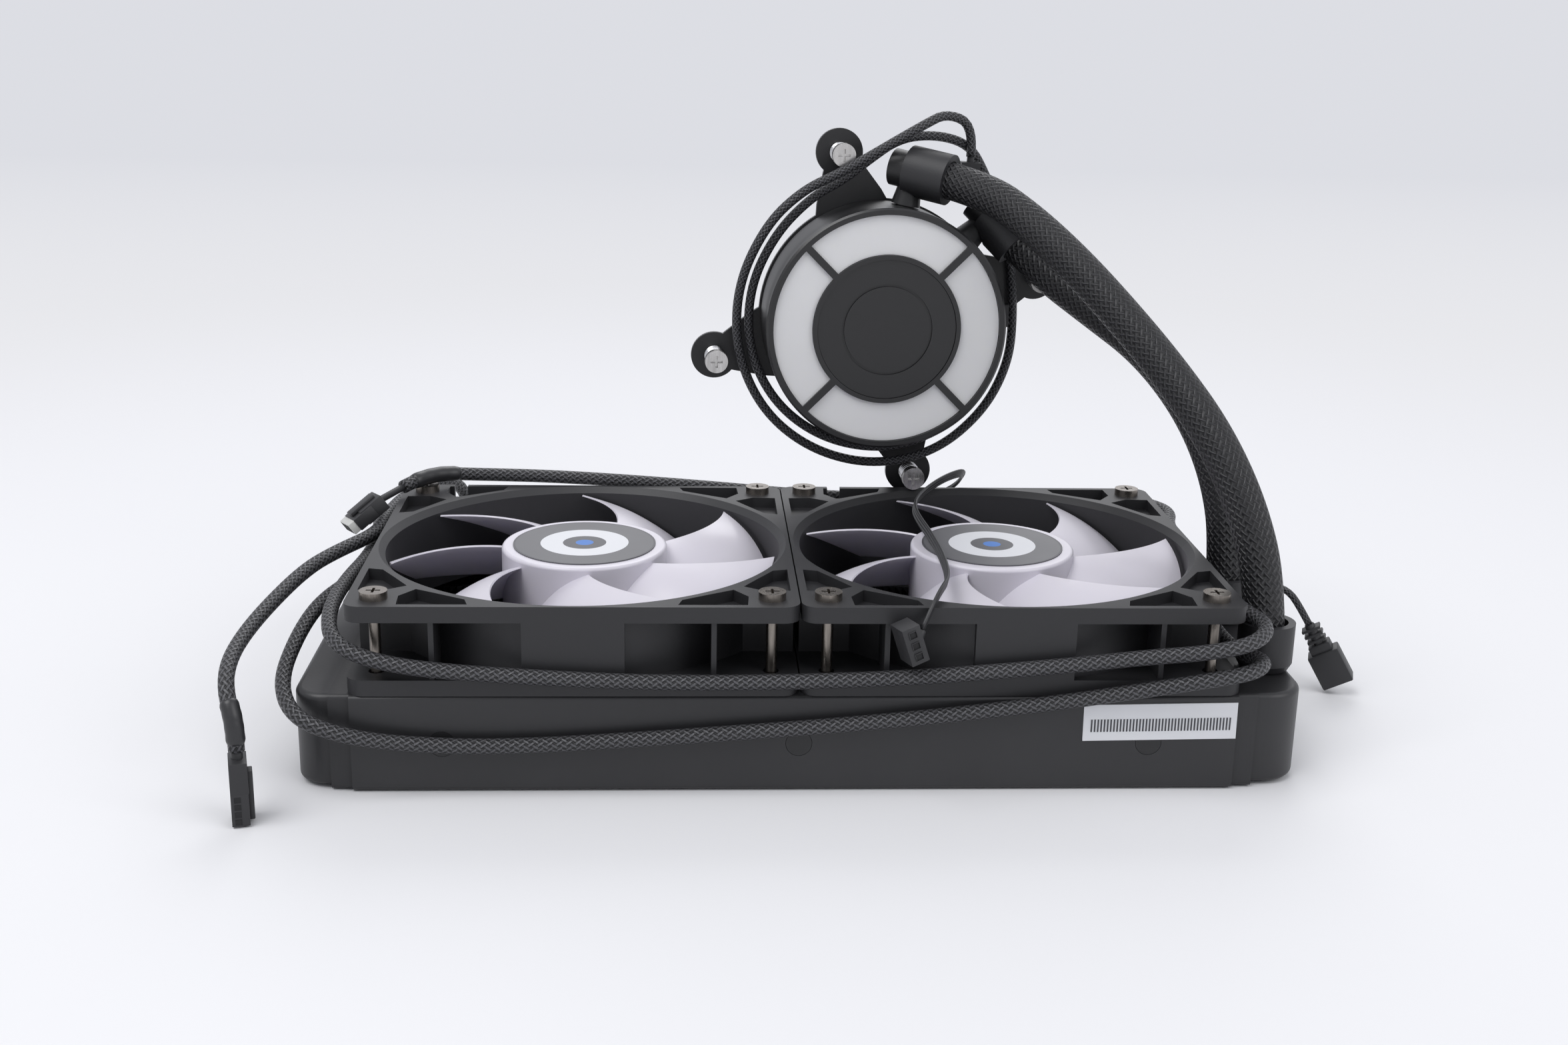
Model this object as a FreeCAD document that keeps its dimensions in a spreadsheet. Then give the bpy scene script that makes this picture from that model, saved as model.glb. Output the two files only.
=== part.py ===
import FreeCAD, Part
import math
import os

import Sketcher

Vector = FreeCAD.Vector

# An all-in-one liquid cooler for a processor: a radiator with two fans on top of it, two braided
# hoses and a round pump that leans on the back edge of the right fan. Millimetres. X runs along
# the radiator, Y runs away from the front, Z is up and the origin is the centre of its underside.

SIZES = [
    # radiator
    ("core_long", 238.0, "length of the side plates"),
    ("rad_wide", 120.0, "width over the side plates"),
    ("rad_high", 27.0, "height of the radiator"),
    ("plate_thick", 1.2, "sheet of the side plates"),
    ("plate_lip", 13.0, "width of the turned lips"),
    ("core_low", 4.5, "underside of the tubes"),
    ("tube_high", 18.0, "height of a flat tube"),
    ("tube_thick", 1.8, "thickness of a flat tube"),
    ("tube_count", 11, "number of flat tubes"),
    ("fin_wide", 7.4, "width of a row of fins"),
    ("fin_fold", 7.0, "length of one fold of the fins"),
    ("fin_sheet", 0.3, "sheet of the fins"),
    ("bar_thick", 4.2, "outermost bars of the core"),
    ("header_thick", 5.6, "depth of the header plates"),
    ("tank_right_long", 14.6, "depth of the tank with the ports"),
    ("tank_left_long", 10.0, "depth of the other tank"),
    ("tank_wall", 2.0, "wall of the tanks"),
    ("tank_inset", 2.5, "how far the tanks stand in from the width"),
    ("tank_drop", 0.5, "how far the tanks stand in from top and bottom"),
    ("tank_round", 11.0, "rounding of the tank corners"),
    ("port_x", 132.4, "middle of both ports along X"),
    ("port_front_y", -37.0, "front port"),
    ("port_rear_y", 4.0, "rear port"),
    ("boss_high", 2.5, "height of the port bosses"),
    ("hose_wide", 11.4, "diameter of the braided hoses"),
    ("collar_wall", 2.1, "wall of the collars on the hoses"),
    ("collar_high", 13.5, "length of the collars"),
    ("side_screw_x", 95.0, "outer screws of the side plates"),
    ("side_screw_head", 7.0, "diameter of the flush screw heads"),
    ("side_screw_shank", 3.0, "diameter of the side screws"),
    # fans
    ("fan_pitch", 120.0, "distance between the fan middles"),
    ("fan_side", 119.6, "side of a fan frame"),
    ("fan_high", 25.0, "height of a fan frame"),
    ("flange_thick", 4.5, "thickness of the frame flanges"),
    ("fan_round", 4.5, "rounding of the frame corners"),
    ("duct_bore", 114.0, "bore of the duct"),
    ("duct_wall", 1.9, "wall of the duct"),
    ("screw_pitch", 105.0, "spacing of the fan screws"),
    ("screw_size", 3.0, "thread of the fan screws"),
    ("screw_head", 7.4, "diameter of the fan screw heads"),
    ("screw_head_high", 2.1, "height of the fan screw heads"),
    ("screw_reach", 3.4, "how far the screws reach into the radiator"),
    ("frame_hole", 4.3, "holes of the frame"),
    ("hub_wide", 48.0, "diameter of the rotor hub"),
    ("hub_wall", 1.5, "wall of the rotor hub"),
    ("hub_top", 23.9, "top of the hub above the frame's underside"),
    ("hub_low", 5.4, "lower edge of the hub"),
    ("tip_gap", 1.1, "gap between blade tips and duct"),
    ("blade_count", 7, "number of blades"),
    ("label_wide", 41.4, "diameter of the hub labels"),
    ("label_thick", 0.3, "thickness of labels and stickers"),
    ("shaft_wide", 3.0, "diameter of the fan shafts"),
    ("running_gap", 0.04, "radial gap of the running fits"),
    ("bearing_wall", 1.7, "wall of the bearing sleeves"),
    ("post_wall", 1.4, "wall of the bearing post"),
    ("post_high", 15.5, "top of the bearing post"),
    ("base_wide", 46.0, "diameter of the motor base"),
    ("base_thick", 2.6, "thickness of the motor base"),
    ("strut_wide", 4.0, "width of the struts"),
    ("board_thick", 1.2, "thickness of circuit boards"),
    ("coil_wide", 38.0, "diameter of the fan stators"),
    ("coil_high", 8.0, "height of the fan stators"),
    ("yoke_wall", 1.1, "wall of the steel ring in the hub"),
    # pump
    ("pump_x", 29.8, "middle of the bracket along X"),
    ("pump_y", 66.0, "front face of the bracket along Y"),
    ("pump_yaw", 3.0, "turn of the pump about the vertical"),
    ("rest_gap", 0.4, "gap between the lowest screw head and the fan"),
    ("ear_circle", 106.07, "circle of the bracket holes"),
    ("ear_turn", 14.0, "turn of the bracket in its own plane"),
    ("ear_wide", 14.8, "diameter of the bracket ears"),
    ("bracket_thick", 1.6, "sheet of the bracket"),
    ("pump_wide", 73.6, "diameter of the pump housing"),
    ("pump_deep", 22.5, "depth of the pump housing"),
    ("pump_wall", 2.0, "wall of the pump housing"),
    ("bezel_wide", 74.6, "diameter of the face"),
    ("bezel_deep", 3.4, "depth of the face ring"),
    ("window_wide", 70.4, "outer diameter of the white ring"),
    ("centre_wide", 46.0, "diameter of the centre disc"),
    ("rib_wide", 2.2, "width of the ribs over the white ring"),
    ("plate_wide", 56.0, "diameter of the cold plate"),
    ("cold_thick", 3.2, "thickness of the cold plate"),
    ("spring_screw_head", 7.2, "diameter of the spring screw heads"),
    ("spring_screw_high", 2.6, "height of the spring screw heads"),
    ("spring_long", 8.6, "length of the springs at rest"),
    ("spring_wide", 6.6, "outer diameter of the springs"),
    ("spring_wire", 0.9, "wire of the springs"),
    ("shank_wide", 3.4, "diameter of the spring screw shanks"),
    ("ear_gap", 0.5, "radial gap between shank and ear"),
    ("impeller_wide", 28.0, "diameter of the impeller"),
    ("elbow_out", 47.6, "distance of the hose axes from the pump axis"),
    ("elbow_bore", 9.0, "diameter of the elbow stubs"),
    ("slip_gap", 0.1, "gap of sleeves and seats"),
    ("lead_wide", 4.2, "diameter of the fan leads"),
    ("light_lead_wide", 2.2, "diameter of the thin light lead"),
    ("ribbon_wide", 3.0, "diameter of the flat light lead"),
    ("pump_lead_wide", 2.9, "diameter of the pump lead"),
]

doc = FreeCAD.newDocument("Cooler")
sheet = doc.addObject("Spreadsheet::Sheet", "Dims")
for row, (alias, value, note) in enumerate(SIZES, start=1):
    sheet.set(f"A{row}", str(value))
    sheet.setAlias(f"A{row}", alias)
    sheet.set(f"B{row}", note)
doc.recompute()


class Size:
    """A number together with the expression that gives it from the sheet."""

    def __init__(self, value, text=None):
        self.value = float(value)
        self.text = text if text is not None else repr(round(float(value), 9))

    def _join(self, other, sign, value):
        return Size(value, f"({self.text} {sign} {other.text})")

    def __add__(self, other):
        other = as_size(other)
        return self._join(other, "+", self.value + other.value)

    def __radd__(self, other):
        return as_size(other) + self

    def __sub__(self, other):
        other = as_size(other)
        return self._join(other, "-", self.value - other.value)

    def __rsub__(self, other):
        return as_size(other) - self

    def __mul__(self, other):
        other = as_size(other)
        return self._join(other, "*", self.value * other.value)

    def __rmul__(self, other):
        return as_size(other) * self

    def __truediv__(self, other):
        other = as_size(other)
        return self._join(other, "/", self.value / other.value)

    def __neg__(self):
        return as_size(0) - self

    def __float__(self):
        return self.value


def as_size(number):
    return number if isinstance(number, Size) else Size(number)


class Sheet:
    """Reads a named size, so that D.rad_high is the radiator's height."""

    def __getattr__(self, alias):
        return Size(sheet.get(alias), f"Dims.{alias}")


D = Sheet()
half = Size(0.5)
NODES = []


def node(obj, label):
    """Names an object after its node and keeps it for the export."""
    obj.Label = label
    NODES.append(obj)
    return obj


def bind(obj, **sizes):
    for name, size in sizes.items():
        obj.setExpression(name.replace("__", "."), as_size(size).text)
    return obj


# Sketches and features of bodies


def new_body(name):
    return doc.addObject("PartDesign::Body", name)


def plane_of(body, role):
    return next(f for f in body.Origin.OriginFeatures if f.Role == role)


def sketch(body, name, plane="XY_Plane", lift=0):
    sk = body.newObject("Sketcher::SketchObject", name)
    sk.AttachmentSupport = [(plane_of(body, plane), "")]
    sk.MapMode = "FlatFace"
    lift = as_size(lift)
    sk.AttachmentOffset = FreeCAD.Placement(Vector(0, 0, lift.value), FreeCAD.Rotation())
    sk.setExpression("AttachmentOffset.Base.z", lift.text)
    return sk


def pin_point(sk, geo, pos, x, y):
    """Holds a point of the sketch at x, y, both given as sizes."""
    for kind, size in (("DistanceX", as_size(x)), ("DistanceY", as_size(y))):
        index = sk.addConstraint(Sketcher.Constraint(kind, -1, 1, geo, pos, size.value))
        sk.setExpression(f"Constraints[{index}]", size.text)


def outline(sk, corners):
    """Adds a closed outline of straight lines through corners, each held in place."""
    points = [Vector(float(x), float(y), 0) for x, y in corners]
    first = sk.GeometryCount
    count = len(points)
    for i in range(count):
        sk.addGeometry(Part.LineSegment(points[i], points[(i + 1) % count]))
    for i in range(count):
        here, after = first + i, first + (i + 1) % count
        sk.addConstraint(Sketcher.Constraint("Coincident", here, 2, after, 1))
    for i, (x, y) in enumerate(corners):
        pin_point(sk, first + i, 1, x, y)


def rectangle(sk, x0, y0, x1, y1):
    outline(sk, [(x0, y0), (x1, y0), (x1, y1), (x0, y1)])


def circle(sk, x, y, radius):
    radius = as_size(radius)
    centre = Vector(float(x), float(y), 0)
    geo = sk.addGeometry(Part.Circle(centre, Vector(0, 0, 1), radius.value))
    pin_point(sk, geo, 3, x, y)
    index = sk.addConstraint(Sketcher.Constraint("Radius", geo, radius.value))
    sk.setExpression(f"Constraints[{index}]", radius.text)


def pad(body, sk, length, name="Pad", both=False):
    feature = body.newObject("PartDesign::Pad", name)
    feature.Profile = sk
    feature.Midplane = both
    bind(feature, Length=length)
    doc.recompute()
    return feature


def cut(body, sk, length=None, name="Pocket", away=False, both=False):
    """Cuts a sketch out of the body: through everything, or to a length."""
    before = body.Shape.Volume
    feature = body.newObject("PartDesign::Pocket", name)
    feature.Profile = sk
    feature.Reversed = away
    if length is None:
        feature.Type = "ThroughAll"
        feature.Midplane = both
    else:
        bind(feature, Length=length)
    doc.recompute()
    if not body.Shape.Volume < before - 1e-6:
        raise RuntimeError(f"{body.Name}: {name} cuts nothing")
    return feature


def turn_round(body, sk, name="Revolution", axis="V_Axis"):
    feature = body.newObject("PartDesign::Revolution", name)
    feature.Profile = sk
    feature.ReferenceAxis = (sk, [axis])
    feature.Angle = 360
    doc.recompute()
    return feature


def repeat_round(body, features, count, name="Round"):
    pattern = body.newObject("PartDesign::PolarPattern", name)
    pattern.Originals = features
    pattern.Axis = (plane_axis(body), [""])
    pattern.Angle = 360
    bind(pattern, Occurrences=count)
    body.Tip = pattern
    doc.recompute()
    return pattern


def plane_axis(body, role="Z_Axis"):
    return next(f for f in body.Origin.OriginFeatures if f.Role == role)


def dress(body, kind, choose, size, name="Dress"):
    """Rounds or chamfers the edges of the body that choose(edge) picks."""
    base = body.Tip
    names = [f"Edge{i}" for i, edge in enumerate(base.Shape.Edges, start=1) if choose(edge)]
    if not names:
        raise RuntimeError(f"{body.Name}: {name} finds no edges")
    feature = body.newObject(f"PartDesign::{kind}", name)
    feature.Base = (base, names)
    bind(feature, **{"Radius" if kind == "Fillet" else "Size": size})
    doc.recompute()
    return feature


def is_line_along(edge, axis):
    if edge.Curve.TypeId != "Part::GeomLine":
        return False
    direction = edge.Curve.Direction
    return abs(abs(direction.dot(axis)) - 1) < 1e-6


def is_circle(edge, radius, height=None):
    if edge.Curve.TypeId != "Part::GeomCircle":
        return False
    same = abs(edge.Curve.Radius - float(radius)) < 1e-3
    return same and (height is None or abs(edge.Curve.Center.z - float(height)) < 1e-3)


# Part primitives and booleans


def box(name, x0, y0, z0, x1, y1, z1):
    obj = doc.addObject("Part::Box", name)
    x0, y0, z0 = as_size(x0), as_size(y0), as_size(z0)
    bind(obj, Length=as_size(x1) - x0, Width=as_size(y1) - y0, Height=as_size(z1) - z0)
    bind(obj, Placement__Base__x=x0, Placement__Base__y=y0, Placement__Base__z=z0)
    return obj


def rod(name, radius, z0, z1, x=0, y=0):
    obj = doc.addObject("Part::Cylinder", name)
    z0 = as_size(z0)
    bind(obj, Radius=radius, Height=as_size(z1) - z0)
    bind(obj, Placement__Base__x=x, Placement__Base__y=y, Placement__Base__z=z0)
    return obj


def minus(name, base, *tools):
    for i, tool in enumerate(tools):
        last = i == len(tools) - 1
        obj = doc.addObject("Part::Cut", name if last else f"{name}_step{i}")
        obj.Base = base
        obj.Tool = tool
        base = obj
    return base


def join(name, *parts):
    obj = doc.addObject("Part::MultiFuse", name)
    obj.Shapes = list(parts)
    return obj


def group(name, *parts):
    """One node of several equal pieces that don't touch."""
    obj = doc.addObject("Part::Compound", name)
    obj.Links = list(parts)
    return obj


def plain(name, shape, placement=None):
    obj = doc.addObject("Part::Feature", name)
    obj.Shape = shape
    if placement is not None:
        obj.Placement = placement
    return obj


X, Y, Z = Vector(1, 0, 0), Vector(0, 1, 0), Vector(0, 0, 1)

# Radiator: two tanks, two header plates, flat tubes, folded fins and two side plates

half_long = D.core_long * half
half_wide = D.rad_wide * half
core_top = D.core_low + D.tube_high
tube_pitch = D.tube_thick + D.fin_wide
tube_count = round(D.tube_count.value)
last_tube = (D.tube_count - 1) * half * tube_pitch
bar_in = last_tube + D.tube_thick * half + D.fin_wide
header_out = half_long + D.slip_gap + D.header_thick
screw_r = D.screw_size * half
screw_half = D.screw_pitch * half
fan_spots = [(side, Size(side) * half * D.fan_pitch) for side in (-1, 1)]
screw_spots = [
    (x + Size(sx) * screw_half, Size(sy) * screw_half)
    for _, x in fan_spots
    for sx in (-1, 1)
    for sy in (-1, 1)
]


def side_plate(label, side):
    """A sheet channel with its web outwards; side is -1 in front and 1 at the back."""
    body = new_body(label)
    web, lip = half_wide, half_wide - D.plate_lip
    inner, thick = half_wide - D.plate_thick, D.plate_thick
    profile = sketch(body, "Channel", "YZ_Plane")
    corners = [
        (web, Size(0)), (web, D.rad_high), (lip, D.rad_high), (lip, D.rad_high - thick),
        (inner, D.rad_high - thick), (inner, thick), (lip, thick), (lip, Size(0)),
    ]
    outline(profile, [(Size(side) * y, z) for y, z in corners])
    pad(body, profile, D.core_long, "Sheet", both=True)

    def outer_bend(edge):
        point = edge.CenterOfMass
        return is_line_along(edge, X) and abs(abs(point.y) - web.value) < 1e-6

    dress(body, "Fillet", outer_bend, thick, "Bends")
    holes = sketch(body, "Holes")
    for x, y in screw_spots:
        if y.value * side > 0:
            circle(holes, x, y, screw_r + D.slip_gap * half)
    cut(body, holes, None, "Threads", both=True)
    face = sketch(body, "Screw seats", "XZ_Plane")
    for x in (-D.side_screw_x, Size(0), D.side_screw_x):
        circle(face, x, D.rad_high * half, D.side_screw_head * half + D.slip_gap)
    cut(body, face, None, "Seats", away=side < 0)
    return node(body, label)


side_plate("side_plate_front", -1)
side_plate("side_plate_back", 1)


def tube_bank():
    parts = []
    reach = header_out - D.slip_gap
    for i in range(tube_count):
        y = Size(i) * tube_pitch - last_tube
        parts.append(box(f"Tube{i}", -reach, y - D.tube_thick * half, D.core_low,
                         reach, y + D.tube_thick * half, core_top))
    return node(group("Tubes", *parts), "core_tubes")


def core_bars():
    parts = []
    for side in (-1, 1):
        inner, outer = Size(side) * bar_in, Size(side) * (half_wide - D.plate_thick - D.slip_gap)
        y0, y1 = (inner, outer) if side > 0 else (outer, inner)
        bar = box(f"Bar{side}", -half_long, y0, D.core_low, half_long, y1, core_top)
        holes = [
            turned_rod(f"Thread{side}{i}", D.side_screw_shank * half, x, y0 - 1, y1 + 1)
            for i, x in enumerate((-D.side_screw_x, Size(0), D.side_screw_x))
        ]
        parts.append(minus(f"Core bar{side}", bar, *holes))
    return node(group("Bars", *parts), "core_bars")


def turned_rod(name, radius, x, y0, y1):
    """A cylinder along Y at half the radiator's height."""
    obj = doc.addObject("Part::Cylinder", name)
    y0, y1 = as_size(y0), as_size(y1)
    bind(obj, Radius=radius, Height=y1 - y0)
    obj.Placement = FreeCAD.Placement(Vector(), FreeCAD.Rotation(X, -90))
    bind(obj, Placement__Base__x=x, Placement__Base__y=y0, Placement__Base__z=D.rad_high * half)
    return obj


def fin_rows():
    """Folded strips between the tubes, drawn with coarse folds."""
    folds = int(D.core_long.value / D.fin_fold.value)
    step = D.core_long.value / folds
    width, sheet_half = D.fin_wide.value, D.fin_sheet.value / 2
    low, high = D.core_low.value, D.tube_high.value
    swing = width / 2 - sheet_half
    rows = []
    for row in range(tube_count + 1):
        middle = (row - tube_count / 2) * tube_pitch.value
        line = [
            Vector(-D.core_long.value / 2 + (i + 0.5) * step, middle + (swing if i % 2 else -swing), 0)
            for i in range(folds)
        ]
        near = [p + Vector(0, -sheet_half, low) for p in line]
        far = [p + Vector(0, sheet_half, low) for p in reversed(line)]
        face = Part.Face(Part.makePolygon(near + far + near[:1]))
        rows.append(face.extrude(Vector(0, 0, high)))
    return node(plain("Fins", Part.makeCompound(rows)), "core_fins")


tube_bank()
core_bars()
fin_rows()


def header(label, side):
    body = new_body(label)
    inner, outer = half_long + D.slip_gap, header_out
    low, high = (inner, outer) if side > 0 else (-outer, -inner)
    base = sketch(body, "Block")
    edge = half_wide - D.plate_thick
    rectangle(base, low, -edge, high, edge)
    pad(body, base, D.rad_high, "Plate")
    dress(body, "Fillet", lambda e: is_line_along(e, X), D.plate_thick, "Soft edges")
    slots = sketch(body, "Slots", "YZ_Plane")
    for i in range(tube_count):
        y = Size(i) * tube_pitch - last_tube
        rectangle(slots, y - D.tube_thick * half, D.core_low, y + D.tube_thick * half, core_top)
    cut(body, slots, None, "Tube slots", away=side > 0)
    return node(body, label)


def tank(label, side, long):
    """A moulded box, open towards the header plate."""
    body = new_body(label)
    inner, outer = header_out, header_out + long
    low, high = (inner, outer) if side > 0 else (-outer, -inner)
    edge = half_wide - D.tank_inset
    base = sketch(body, "Block", lift=D.tank_drop)
    rectangle(base, low, -edge, high, edge)
    pad(body, base, D.rad_high - D.tank_drop * 2, "Box")
    far = outer.value * side

    def far_corner(e):
        return is_line_along(e, Z) and abs(e.CenterOfMass.x - far) < 1e-6

    round_size = D.tank_round if side > 0 else D.tank_round * Size(0.8)
    dress(body, "Fillet", far_corner, round_size, "Corners")

    def far_rim(e):
        return abs(e.BoundBox.ZLength) < 1e-6 and e.CenterOfMass.x * side > inner.value + 0.5

    dress(body, "Fillet", far_rim, Size(1.6), "Soft rim")
    if side > 0:
        bosses = sketch(body, "Bosses", lift=D.rad_high - D.tank_drop - D.tank_wall)
        for y in (D.port_front_y, D.port_rear_y):
            circle(bosses, D.port_x, y, D.hose_wide * half)
        pad(body, bosses, D.tank_wall + D.boss_high, "Port bosses")
    room = sketch(body, "Room", lift=D.tank_drop + D.tank_wall)
    wall = D.tank_wall
    inset = wall + D.tank_round * Size(0.3)
    if side > 0:
        rectangle(room, low, -edge + inset, high - wall, edge - inset)
    else:
        rectangle(room, low + wall, -edge + inset, high, edge - inset)
    cut(body, room, D.rad_high - (D.tank_drop + wall) * 2, "Water room", away=True)
    if side > 0:
        bores = sketch(body, "Bores", lift=D.rad_high * half)
        for y in (D.port_front_y, D.port_rear_y):
            circle(bores, D.port_x, y, D.hose_wide * half - wall)
        cut(body, bores, D.rad_high, "Port bores", away=True)
    return node(body, label)


header("header_left", -1)
header("header_right", 1)
tank("tank_left", -1, D.tank_left_long)
tank("tank_right", 1, D.tank_right_long)


def side_screws():
    parts = []
    for side in (-1, 1):
        face = Size(side) * half_wide
        for i, x in enumerate((-D.side_screw_x, Size(0), D.side_screw_x)):
            under = face - Size(side) * (D.plate_thick + D.slip_gap * half)
            tip = Size(side) * bar_in
            y0, y1 = (tip, under) if side > 0 else (under, tip)
            shank = turned_rod(f"Shank{side}{i}", D.side_screw_shank * half, x, y0, y1)
            y0, y1 = (under, face) if side > 0 else (face, under)
            head = turned_rod(f"Head{side}{i}", D.side_screw_head * half, x, y0, y1)
            parts.append(join(f"Side screw{side}{i}", shank, head))
    return node(group("Side screws", *parts), "side_screws")


side_screws()

# Fans: frame, rotor, steel ring, shaft, label, and inside the motor bearing, stator and board

fan_low = D.rad_high
fan_top = fan_low + D.fan_high
bore_r = D.duct_bore * half
duct_r = bore_r + D.duct_wall
side_half = D.fan_side * half
hub_r = D.hub_wide * half
post_in = D.shaft_wide * half + D.running_gap + D.bearing_wall
post_out = post_in + D.post_wall
hub_in = hub_r - D.hub_wall


def at_fan(obj, x):
    bind(obj, Placement__Base__x=x, Placement__Base__z=fan_low)
    return obj


def polar(radius, degrees):
    angle = math.radians(degrees)
    return radius * Size(math.cos(angle)), radius * Size(math.sin(angle))


def fan_frame(label, x):
    body = new_body(label)
    rim = Size(2.0)
    base = sketch(body, "Lower flange")
    rectangle(base, -side_half, -side_half, side_half, side_half)
    pad(body, base, D.flange_thick, "Lower")
    duct = sketch(body, "Duct")
    circle(duct, 0, 0, duct_r)
    pad(body, duct, D.fan_high, "Duct wall")
    top = sketch(body, "Upper flange", lift=D.fan_high - D.flange_thick)
    rectangle(top, -side_half, -side_half, side_half, side_half)
    pad(body, top, D.flange_thick, "Upper")
    dress(body, "Fillet", lambda e: is_line_along(e, Z) and e.Length < 10, D.fan_round, "Corners")

    flat = sketch(body, "Flat side")
    rectangle(flat, bore_r - 1, Size(-13.5), side_half, Size(13.5))
    flat_pad = pad(body, flat, D.fan_high, "Flat")
    webs = sketch(body, "Webs")
    for sign in (-1, 1):
        y = Size(sign * 37.0)
        rectangle(webs, duct_r * Size(0.74), y - Size(0.7), side_half - Size(0.6), y + Size(0.7))
    web_pad = pad(body, webs, D.fan_high, "Web pad")
    repeat_round(body, [flat_pad, web_pad], Size(4), "Sides")

    pockets = sketch(body, "Corner pockets", lift=D.fan_high)
    edge = side_half - rim
    ring = duct_r + rim
    ends = [polar(ring, 28), (edge, side_half * Size(0.46)), (edge, screw_half - Size(6.6))]
    inner = [
        (screw_half - Size(1.6), screw_half - Size(6.2)),
        (screw_half * Size(0.862), screw_half * Size(0.808)),
        polar(ring, 36),
    ]
    one = ends + inner
    outline(pockets, one)
    outline(pockets, [(y, px) for px, y in reversed(one)])
    pocket = cut(body, pockets, D.flange_thick * Size(0.72), "Corner pocket")
    repeat_round(body, [pocket], Size(4), "Pockets")

    bore = sketch(body, "Bore")
    circle(bore, 0, 0, bore_r)
    cut(body, bore, None, "Bore cut", away=True)
    holes = sketch(body, "Screw holes")
    for sx in (-1, 1):
        for sy in (-1, 1):
            circle(holes, Size(sx) * screw_half, Size(sy) * screw_half, D.frame_hole * half)
    cut(body, holes, None, "Hole cut", away=True)

    def mouth(e):
        return is_circle(e, bore_r, D.fan_high)

    dress(body, "Chamfer", mouth, D.duct_wall * Size(0.95), "Bell mouth")
    notch = sketch(body, "Notch", lift=D.fan_high)
    rectangle(notch, Size(-44.6), side_half - Size(2.6), Size(-40.4), side_half + 1)
    cut(body, notch, D.flange_thick, "Lead notch")

    gland = sketch(body, "Gland", lift=Size(10.0))
    gland_end = duct_r * Size(0.66) + Size(8.6)
    rectangle(gland, Size(-46.8), duct_r * Size(0.66), Size(-37.2), gland_end)
    pad(body, gland, Size(5.0), "Lead gland")
    clear = sketch(body, "Gland clear", lift=Size(9.0))
    circle(clear, 0, 0, bore_r)
    cut(body, clear, Size(7.0), "Clear bore", away=True)

    motor = sketch(body, "Motor base")
    circle(motor, 0, 0, D.base_wide * half)
    pad(body, motor, D.base_thick, "Base")
    strut = sketch(body, "Strut")
    rectangle(strut, D.base_wide * half - 1, -D.strut_wide * half, bore_r + 1, D.strut_wide * half)
    strut_pad = pad(body, strut, D.base_thick + Size(1.2), "Strut pad")
    repeat_round(body, [strut_pad], Size(4), "Struts")
    post = sketch(body, "Post")
    circle(post, 0, 0, post_out)
    pad(body, post, D.post_high, "Bearing post")
    room = sketch(body, "Bearing room", lift=Size(1.2))
    circle(room, 0, 0, post_in)
    cut(body, room, D.post_high, "Bearing seat", away=True)
    at_fan(body, x)
    return node(body, label)


# Each row: distance from the axis, turn, half width across, lower z and upper z of the blade
BLADE = [
    (19.5, -2.0, 7.0, 8.4, 21.6),
    (33.0, 6.0, 11.5, 7.4, 22.6),
    (45.0, 16.0, 15.5, 6.8, 22.8),
    (58.0, 29.0, 19.5, 6.6, 22.6),
]
BLADE_THICK = 1.5


def blade_section(body, index, radius, turn, across, low, high):
    sk = body.newObject("Sketcher::SketchObject", f"Section{index}")
    sk.AttachmentSupport = [(plane_of(body, "YZ_Plane"), "")]
    sk.MapMode = "FlatFace"
    spin = FreeCAD.Rotation(Y, turn)
    sk.AttachmentOffset = FreeCAD.Placement(spin.multVec(Vector(0, 0, radius)), spin)
    bow = 0.16 * (high - low)
    upper, lower = [], []
    for i in range(7):
        f = i / 6
        lens = BLADE_THICK * (0.3 + 0.7 * math.sin(math.pi * (0.15 + 0.8 * f)))
        y = across * (2 * f - 1)
        z = low + (high - low) * f + bow * math.sin(math.pi * f)
        upper.append(Vector(y - lens * 0.35, z + lens * 0.35, 0))
        lower.append(Vector(y + lens * 0.35, z - lens * 0.35, 0))
    back = lower[::-1]
    for points, nearby in ((upper, back), (back, upper)):
        curve = Part.BSplineCurve()
        curve.interpolate(points)
        sk.addGeometry(curve)
        sk.addGeometry(Part.LineSegment(points[-1], nearby[0]))
    return sk


def fan_rotor(label, x, phase):
    body = new_body(label)
    sections = [blade_section(body, i, *row) for i, row in enumerate(BLADE)]
    doc.recompute()
    loft = body.newObject("PartDesign::AdditiveLoft", "Blade")
    loft.Profile = sections[0]
    loft.Sections = sections[1:]
    doc.recompute()
    repeat_round(body, [loft], D.blade_count, "Blades")
    hub = sketch(body, "Hub", lift=D.hub_low)
    circle(hub, 0, 0, hub_r)
    pad(body, hub, D.hub_top - D.hub_low, "Hub block")
    dress(body, "Fillet", lambda e: is_circle(e, hub_r, D.hub_top), Size(1.0), "Hub edge")
    ring = sketch(body, "Tips")
    circle(ring, 0, 0, bore_r + 20)
    circle(ring, 0, 0, bore_r - D.tip_gap)
    cut(body, ring, D.fan_high, "Tip cut", away=True)
    room = sketch(body, "Cup")
    circle(room, 0, 0, hub_in)
    cut(body, room, D.hub_top - D.hub_wall, "Cup room", away=True)
    boss = sketch(body, "Boss", lift=D.post_high + Size(1.2))
    circle(boss, 0, 0, D.shaft_wide * half + Size(2.0))
    pad(body, boss, D.hub_top - D.hub_wall - D.post_high - Size(1.0), "Shaft boss")
    seat = sketch(body, "Shaft hole")
    circle(seat, 0, 0, D.shaft_wide * half)
    cut(body, seat, D.hub_top - D.hub_wall * half, "Shaft seat", away=True)
    at_fan(body, x)
    body.Placement = FreeCAD.Placement(Vector(x.value, 0, fan_low.value), FreeCAD.Rotation(Z, phase))
    return node(body, label)


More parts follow.
